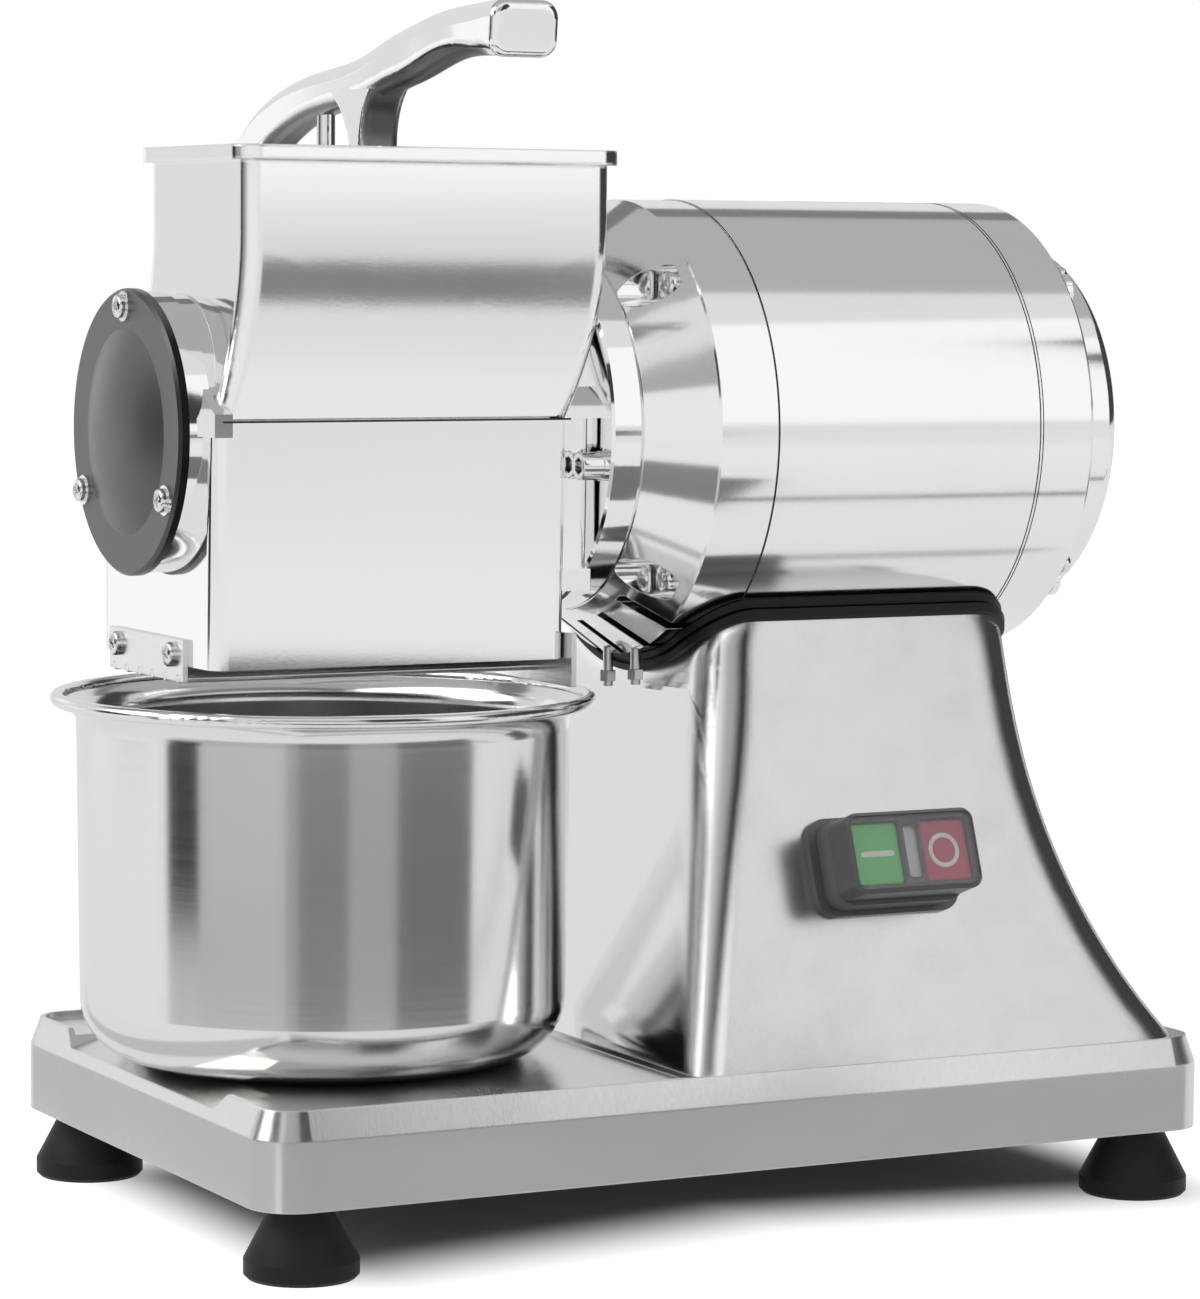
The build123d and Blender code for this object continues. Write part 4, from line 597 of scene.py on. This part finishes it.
def neck_wall():
    """Upright wall: P(s, z) = (x(s), y(s) + lean (top - z), z). The plan runs along the front, steps back a
    little in a smooth curve, turns a round corner and closes behind; both ends shrink to a point."""
    flat = np.linspace(NECK_LEFT, NECK_RIGHT - NECK_CORNER, 24)
    turn = np.linspace(-0.5 * np.pi, 0.0, 17)[1:]
    front = NECK_FRONT + NECK_RECESS
    x = np.concatenate([flat, NECK_RIGHT - NECK_CORNER + NECK_CORNER * np.cos(turn),
                        [NECK_RIGHT, NECK_LEFT]])
    y = np.concatenate([NECK_FRONT + NECK_RECESS * ramp(flat, *NECK_STEP),
                        front + NECK_CORNER + NECK_CORNER * np.sin(turn), [NECK_REAR, NECK_REAR]])
    z = np.array([NECK_BOTTOM, NECK_BOTTOM, NECK_TOP, NECK_TOP])
    share = np.array([0.0, 1.0, 1.0, 0.0])[:, None]
    lean = NECK_LEAN * (NECK_TOP - z)[:, None]
    return np.stack([x.mean() + share * (x - x.mean()), y.mean() + share * (y - y.mean()) + lean,
                     z[:, None] + 0.0 * x], axis=-1)


skin("neck_front_wall", [neck_wall()], "frame", "head", NECK_CREASE)

# Marks on the switch buttons, in the frame of the leaning face: across, up the slope, outward
SLOPE = math.radians(19.74)
SLOPE_FOOT = (-124.0, 52.4)         # Y and Z where the leaning face meets the base
SWITCH_ACROSS, SWITCH_UP = 65.5, 86.0
SWITCH_ORIGIN = np.array([SWITCH_ACROSS, SLOPE_FOOT[0] + SWITCH_UP * math.sin(SLOPE),
                          SLOPE_FOOT[1] + SWITCH_UP * math.cos(SLOPE)])
SWITCH_AXES = np.array([[1.0, 0.0, 0.0], [0.0, math.sin(SLOPE), math.cos(SLOPE)],
                        [0.0, -math.cos(SLOPE), math.sin(SLOPE)]])
BUTTON_MIDDLE = 14.5
BUTTON_FACE = 24.0
MARK_RISE = 0.25
BAR_HALF_LENGTH, BAR_HALF_WIDTH = 7.2, 1.15
RING_RADIUS, RING_HALF_WIDTH = 5.8, 0.95


def on_switch(grid):
    """From the frame of the leaning face to the object's frame."""
    return SWITCH_ORIGIN + grid @ SWITCH_AXES


def start_bar():
    """Flat rounded bar, a superellipsoid: P = (a cos^p u cos^q v, b cos^p u sin^q v, c sin^p u), with powers
    that keep the sign."""
    p, q = 0.4, 0.35
    u = np.linspace(-0.5 * np.pi, 0.5 * np.pi, 24)[:, None]
    v = np.linspace(0.0, 2.0 * np.pi, TURN_STEPS, endpoint=False)[None, :]

    def power(value, exponent):
        return np.sign(value) * np.abs(value) ** exponent

    x = BAR_HALF_LENGTH * power(np.cos(u), p) * power(np.cos(v), q)
    y = BAR_HALF_WIDTH * power(np.cos(u), p) * power(np.sin(v), q)
    z = MARK_RISE * power(np.sin(u), p) + 0.0 * v
    return np.stack([x - BUTTON_MIDDLE, y, z + BUTTON_FACE], axis=-1)


def stop_ring():
    """Flat ring: P = ((R + w cos t) cos a, (R + w cos t) sin a, c sin t)."""
    t = np.linspace(0.0, 2.0 * np.pi, 17)[:, None]
    a = np.linspace(0.0, 2.0 * np.pi, TURN_STEPS, endpoint=False)[None, :]
    r = RING_RADIUS + RING_HALF_WIDTH * np.cos(t)
    return np.stack([r * np.cos(a) + BUTTON_MIDDLE, r * np.sin(a),
                     BUTTON_FACE + MARK_RISE * np.sin(t) + 0.0 * a], axis=-1)


skin("start_mark", [on_switch(start_bar())], "start", "white")
skin("stop_mark", [on_switch(stop_ring())], "stop", "white")


# Studio

def stage_sheet(name, corners, material):
    """Flat four-cornered sheet, in metres, that isn't part of the object."""
    mesh = bpy.data.meshes.new(name)
    mesh.from_pydata(corners, [], [(0, 1, 2, 3)])
    sheet = bpy.data.objects.new(name, mesh)
    bpy.context.scene.collection.objects.link(sheet)
    dress(sheet, material)
    return sheet


def seen_level(tree, camera, mirror):
    """Level for camera rays and for glossy and transmission rays, 0 for the rest."""
    path = add(tree, "ShaderNodeLightPath")
    either = add(tree, "ShaderNodeMath", operation="MAXIMUM")
    tree.links.new(path.outputs["Is Glossy Ray"], either.inputs[0])
    tree.links.new(path.outputs["Is Transmission Ray"], either.inputs[1])
    shown = add(tree, "ShaderNodeMath", operation="MULTIPLY")
    tree.links.new(either.outputs[0], shown.inputs[0])
    shown.inputs[1].default_value = mirror
    both = add(tree, "ShaderNodeMath", operation="MULTIPLY_ADD")
    tree.links.new(path.outputs["Is Camera Ray"], both.inputs[0])
    both.inputs[1].default_value = camera
    tree.links.new(shown.outputs[0], both.inputs[2])
    return both.outputs[0]


def floor_material():
    """Dark floor that a glow, for camera rays and in the polish, makes white away from the object; under and
    round the base the glow is held back in the shape of a painted shadow. With u = |x - middle| and v = |y| -
    slant u, the glow rises smoothly with |max((u, v) - half, 0) / fade| from 0 to 1."""
    material, tree, shader = finish("pale_floor")
    link = tree.links.new
    shader.inputs["Base Color"].default_value = (0.2, 0.2, 0.202, 1.0)
    shader.inputs["Roughness"].default_value = 0.9
    shader.inputs["Emission Color"].default_value = (1.0, 1.0, 1.0, 1.0)
    spot = add(tree, "ShaderNodeTexCoord")
    shift = add(tree, "ShaderNodeVectorMath", operation="SUBTRACT")
    link(spot.outputs["Object"], shift.inputs[0])
    shift.inputs[1].default_value = SHADOW_MIDDLE
    away = add(tree, "ShaderNodeVectorMath", operation="ABSOLUTE")
    link(shift.outputs[0], away.inputs[0])
    axes = add(tree, "ShaderNodeSeparateXYZ")
    link(away.outputs[0], axes.inputs[0])
    slant = add(tree, "ShaderNodeMath", operation="MULTIPLY_ADD")
    link(axes.outputs["X"], slant.inputs[0])
    slant.inputs[1].default_value = -SHADOW_SLANT
    link(axes.outputs["Y"], slant.inputs[2])
    slanted = add(tree, "ShaderNodeCombineXYZ")
    link(axes.outputs["X"], slanted.inputs["X"])
    link(slant.outputs[0], slanted.inputs["Y"])
    value = slanted.outputs[0]
    past_edge = (("SUBTRACT", SHADOW_HALF), ("MAXIMUM", (0.0, 0.0, 0.0)), ("DIVIDE", SHADOW_FADE))
    for operation, other in past_edge:
        step = add(tree, "ShaderNodeVectorMath", operation=operation)
        link(value, step.inputs[0])
        step.inputs[1].default_value = other
        value = step.outputs[0]
    far = add(tree, "ShaderNodeVectorMath", operation="LENGTH")
    link(value, far.inputs[0])
    glow = add(tree, "ShaderNodeMapRange", interpolation_type="SMOOTHSTEP")
    link(far.outputs["Value"], glow.inputs["Value"])
    share = add(tree, "ShaderNodeMath", operation="MULTIPLY")
    link(seen_level(tree, 1.0, FLOOR_LEVEL), share.inputs[0])
    link(glow.outputs[0], share.inputs[1])
    link(share.outputs[0], shader.inputs["Emission Strength"])
    return material


def card_material(name, level, rise=None):
    """Card of a fixed grey level on its face, whatever light falls on it, and clear from behind. The level
    may rise smoothly along an axis: rise is (axis, start, end, level at the end) in metres."""
    material = bpy.data.materials.new(name)
    material.use_nodes = True
    tree = material.node_tree
    tree.nodes.remove(tree.nodes["Principled BSDF"])
    glow = add(tree, "ShaderNodeEmission", Strength=level)
    if rise:
        axis, start, end, last = rise
        spot = add(tree, "ShaderNodeTexCoord")
        axes = add(tree, "ShaderNodeSeparateXYZ")
        tree.links.new(spot.outputs["Object"], axes.inputs[0])
        grade = add(tree, "ShaderNodeMapRange", interpolation_type="SMOOTHSTEP", From_Min=start,
                    From_Max=end, To_Min=level, To_Max=last)
        tree.links.new(axes.outputs[axis], grade.inputs["Value"])
        tree.links.new(grade.outputs[0], glow.inputs["Strength"])
    clear = add(tree, "ShaderNodeBsdfTransparent")
    side = add(tree, "ShaderNodeNewGeometry")
    choice = add(tree, "ShaderNodeMixShader")
    tree.links.new(side.outputs["Backfacing"], choice.inputs[0])
    tree.links.new(glow.outputs[0], choice.inputs[1])
    tree.links.new(clear.outputs[0], choice.inputs[2])
    tree.links.new(choice.outputs[0], tree.nodes["Material Output"].inputs["Surface"])
    return material


def flag(name, corners, level, rise=None):
    """Studio card that only shows in the polish of the metal, on the side from which its corners run
    anticlockwise."""
    sheet = stage_sheet(name, corners, card_material(name, level, rise))
    sheet.visible_camera = False
    sheet.visible_diffuse = False
    sheet.visible_shadow = False
    sheet.visible_transmission = False
    return sheet


SHADOW_MIDDLE = (0.016, 0.0, 0.0)  # of the painted shadow under the base, where the floor's glow is held back, in metres
SHADOW_HALF = (0.159, 0.042, 0.0)  # half its sides
SHADOW_FADE = (0.055, 0.085, 1.0)  # from there to the white floor
SHADOW_SLANT = 0.18                # its front and rear edges lie further out at the sides
FLOOR_LEVEL = 0.66                 # added to the light on the floor, in the polish
BACKDROP_LEVEL = 0.76              # in the polish
AMBIENT_LEVEL = 0.35               # light of the room on the object
FLOOR_SIZE = 8.0
stage_sheet("floor", [(-FLOOR_SIZE, -FLOOR_SIZE, 0), (FLOOR_SIZE, -FLOOR_SIZE, 0),
                      (FLOOR_SIZE, FLOOR_SIZE, 0), (-FLOOR_SIZE, FLOOR_SIZE, 0)], floor_material())


def lying_card(name, left, right, first, last, height, level):
    """Level card between two places in X and two in Y; it shows downward when the second place in Y is the
    nearer one to the camera, and upward when it is the farther one."""
    corners = [(left, first, height), (right, first, height), (right, last, height), (left, last, height)]
    flag(name, corners, level)


OVERHEAD_LEFT, OVERHEAD_RIGHT, OVERHEAD_HEIGHT = -1.2, 2.6, 1.6
OVERHEAD_REAR, OVERHEAD_MIDDLE, OVERHEAD_FRONT = 1.9, 1.2, -0.45
lying_card("overhead_card", OVERHEAD_LEFT, OVERHEAD_RIGHT, OVERHEAD_MIDDLE, OVERHEAD_FRONT,
           OVERHEAD_HEIGHT, 0.44)
lying_card("overhead_rear_card", OVERHEAD_LEFT, OVERHEAD_RIGHT, OVERHEAD_REAR, OVERHEAD_MIDDLE,
           OVERHEAD_HEIGHT, 0.2)
lying_card("floor_stripe", left=-0.2, right=0.9, first=-0.48, last=-0.45, height=0.002, level=0.2)

# Low cards before the front and the left wall of the base: grey sheets seen only in the polish of its walls,
# painted shade of the floor next to the base
SKIRT_LEFT, SKIRT_RIGHT, SKIRT_FRONT, SKIRT_TOP = -0.24, 0.3, -0.16, 0.05
END_SKIRT_FRONT, END_SKIRT_REAR = -0.14, 0.32
flag("skirt_card", [(SKIRT_RIGHT, SKIRT_FRONT, 0.0), (SKIRT_LEFT, SKIRT_FRONT, 0.0),
                    (SKIRT_LEFT, SKIRT_FRONT, SKIRT_TOP), (SKIRT_RIGHT, SKIRT_FRONT, SKIRT_TOP)], 0.44)
flag("end_skirt_card", [(SKIRT_LEFT, END_SKIRT_FRONT, 0.0), (SKIRT_LEFT, END_SKIRT_REAR, 0.0),
                        (SKIRT_LEFT, END_SKIRT_REAR, SKIRT_TOP), (SKIRT_LEFT, END_SKIRT_FRONT, SKIRT_TOP)],
     0.58)

BOWL_CENTRE = (-0.1233, 0.0)       # in metres


def polar(radius, degrees):
    """Place on the floor round the bowl; the angle runs from -Y towards +X."""
    turn = math.radians(degrees)
    return BOWL_CENTRE[0] + radius * math.sin(turn), BOWL_CENTRE[1] - radius * math.cos(turn)


def standing_card(name, start, end, radius, bottom, top, level, rise=None):
    """Upright card between two angles round the bowl that shows on its inner side."""
    ends = [polar(radius, end), polar(radius, start)]
    corners = [(*ends[0], bottom), (*ends[1], bottom), (*ends[1], top), (*ends[0], top)]
    return flag(name, corners, level, rise)


# Low cards on the floor round the bowl for its upright stripes: start and end angle, level at the bottom and
# at the top, heights between which it changes
STRIPE_RADIUS = 0.45
STRIPE_HEIGHT = 0.165
STRIPE_STEP = 10.0
BOWL_STRIPES = {
    "left": (-93.6, -77.8, 0.55, 0.04, 0.042, 0.078),
    "front_left": (-77.8, -39.7, 0.50, 0.56, 0.04, 0.13),
    "left_blend": (-39.7, -34.3, 0.36, 0.36, 0.04, 0.13),
    "camera_side": (-34.3, -13.9, 0.22, 0.23, 0.04, 0.13),
    "middle": (-13.9, 6.7, 0.38, 0.39, 0.04, 0.13),
    "front_right": (6.7, 41.6, 0.17, 0.18, 0.04, 0.13),
}
for place, (start, end, low, high, foot, head) in BOWL_STRIPES.items():
    edges = np.linspace(start, end, int(math.ceil((end - start) / STRIPE_STEP)) + 1).tolist()
    for n, (first, last) in enumerate(zip(edges[:-1], edges[1:])):
        standing_card("%s_stripe_%d" % (place, n), first, last, STRIPE_RADIUS, 0.0, STRIPE_HEIGHT, low,
                      rise=("Z", foot, head, high))

# Cards of the room: start and end angle round the bowl, distance, bottom, top, level
STANDING_CARDS = {
    "behind_camera": (-6, 24, 2.2, 0.6, 2.8, 0.04),
    "left_dark": (-84, -58, 3.0, 0.9, 1.9, 0.04),
    "left_beige": (-110, -84, 2.4, 0.3, 2.2, 0.33),
    "left_rear": (-132, -110, 2.4, 0.0, 2.2, 0.03),
    "left_box": (-159, -140, 2.0, 0.0, 0.3, 1.0),
    "left_high": (-176, -157, 1.0, 0.29, 0.55, 1.0),
    "right_wall": (46, 118, 2.2, 0.3, 1.75, 0.05),
    "right_rear": (120, 146, 2.4, 0.0, 0.6, 0.14),
    "far_strip": (19, 29.5, 3.0, 0.15, 0.29, 0.2),
    "front_box": (4, 64, 3.4, 0.42, 3.2, 1.0),
    "front_box_left": (-66, -6, 3.4, 0.0, 1.3, 0.85),
    "front_high_left": (-46, -6, 3.4, 1.3, 3.2, 0.4),
}
for place, values in STANDING_CARDS.items():
    standing_card(place + "_card", *values)

world = bpy.data.worlds.new("studio")
bpy.context.scene.world = world
world.use_nodes = True
sky = world.node_tree.nodes["Background"]
sky.inputs["Color"].default_value = (1.0, 1.0, 1.0, 1.0)
level = add(world.node_tree, "ShaderNodeMath", operation="ADD")
world.node_tree.links.new(seen_level(world.node_tree, 1.0 - AMBIENT_LEVEL, BACKDROP_LEVEL - AMBIENT_LEVEL),
                          level.inputs[0])
level.inputs[1].default_value = AMBIENT_LEVEL
world.node_tree.links.new(level.outputs[0], sky.inputs["Strength"])


def softbox(name, place, aim, width, height, power):
    """Large soft area lamp."""
    lamp = bpy.data.lights.new(name, "AREA")
    lamp.shape = "RECTANGLE"
    lamp.size = width
    lamp.size_y = height
    lamp.energy = power
    holder = bpy.data.objects.new(name, lamp)
    holder.location = place
    holder.rotation_mode = "QUATERNION"
    holder.rotation_quaternion = (Vector(aim) - Vector(place)).to_track_quat("-Z", "Y")
    bpy.context.scene.collection.objects.link(holder)
    return holder


MIDDLE = (0.0, 0.0, 0.2)           # of the object
softbox("key", place=(-1.9, 0.6, 1.5), aim=MIDDLE, width=2.0, height=2.0, power=26.0)
fill = softbox("fill", place=(0.6, -1.9, 1.6), aim=MIDDLE, width=1.8, height=1.8, power=14.0)
fill.visible_glossy = False

# Camera
yaw, pitch, roll = (math.radians(a) for a in (CAMERA_YAW, CAMERA_PITCH, CAMERA_ROLL))
forward = Vector((math.sin(yaw) * math.cos(pitch), math.cos(yaw) * math.cos(pitch), -math.sin(pitch)))
right = Vector((math.cos(yaw), -math.sin(yaw), 0.0))
up = right.cross(forward)
camera = bpy.data.cameras.new("camera")
camera.sensor_width = SENSOR
camera.lens = FOCAL_PIXELS * SENSOR / PICTURE_HEIGHT
camera.clip_start = 0.05
camera.clip_end = 60.0
tripod = bpy.data.objects.new("camera", camera)
side = math.cos(roll) * right + math.sin(roll) * up
top = math.cos(roll) * up - math.sin(roll) * right
place = (Vector(CAMERA_TARGET) - CAMERA_DISTANCE * forward) * MM
tripod.matrix_world = Matrix((
    (side.x, top.x, -forward.x, place.x),
    (side.y, top.y, -forward.y, place.y),
    (side.z, top.z, -forward.z, place.z),
    (0.0, 0.0, 0.0, 1.0),
))
bpy.context.scene.collection.objects.link(tripod)
bpy.context.scene.camera = tripod
bpy.context.scene.view_settings.view_transform = "Standard"
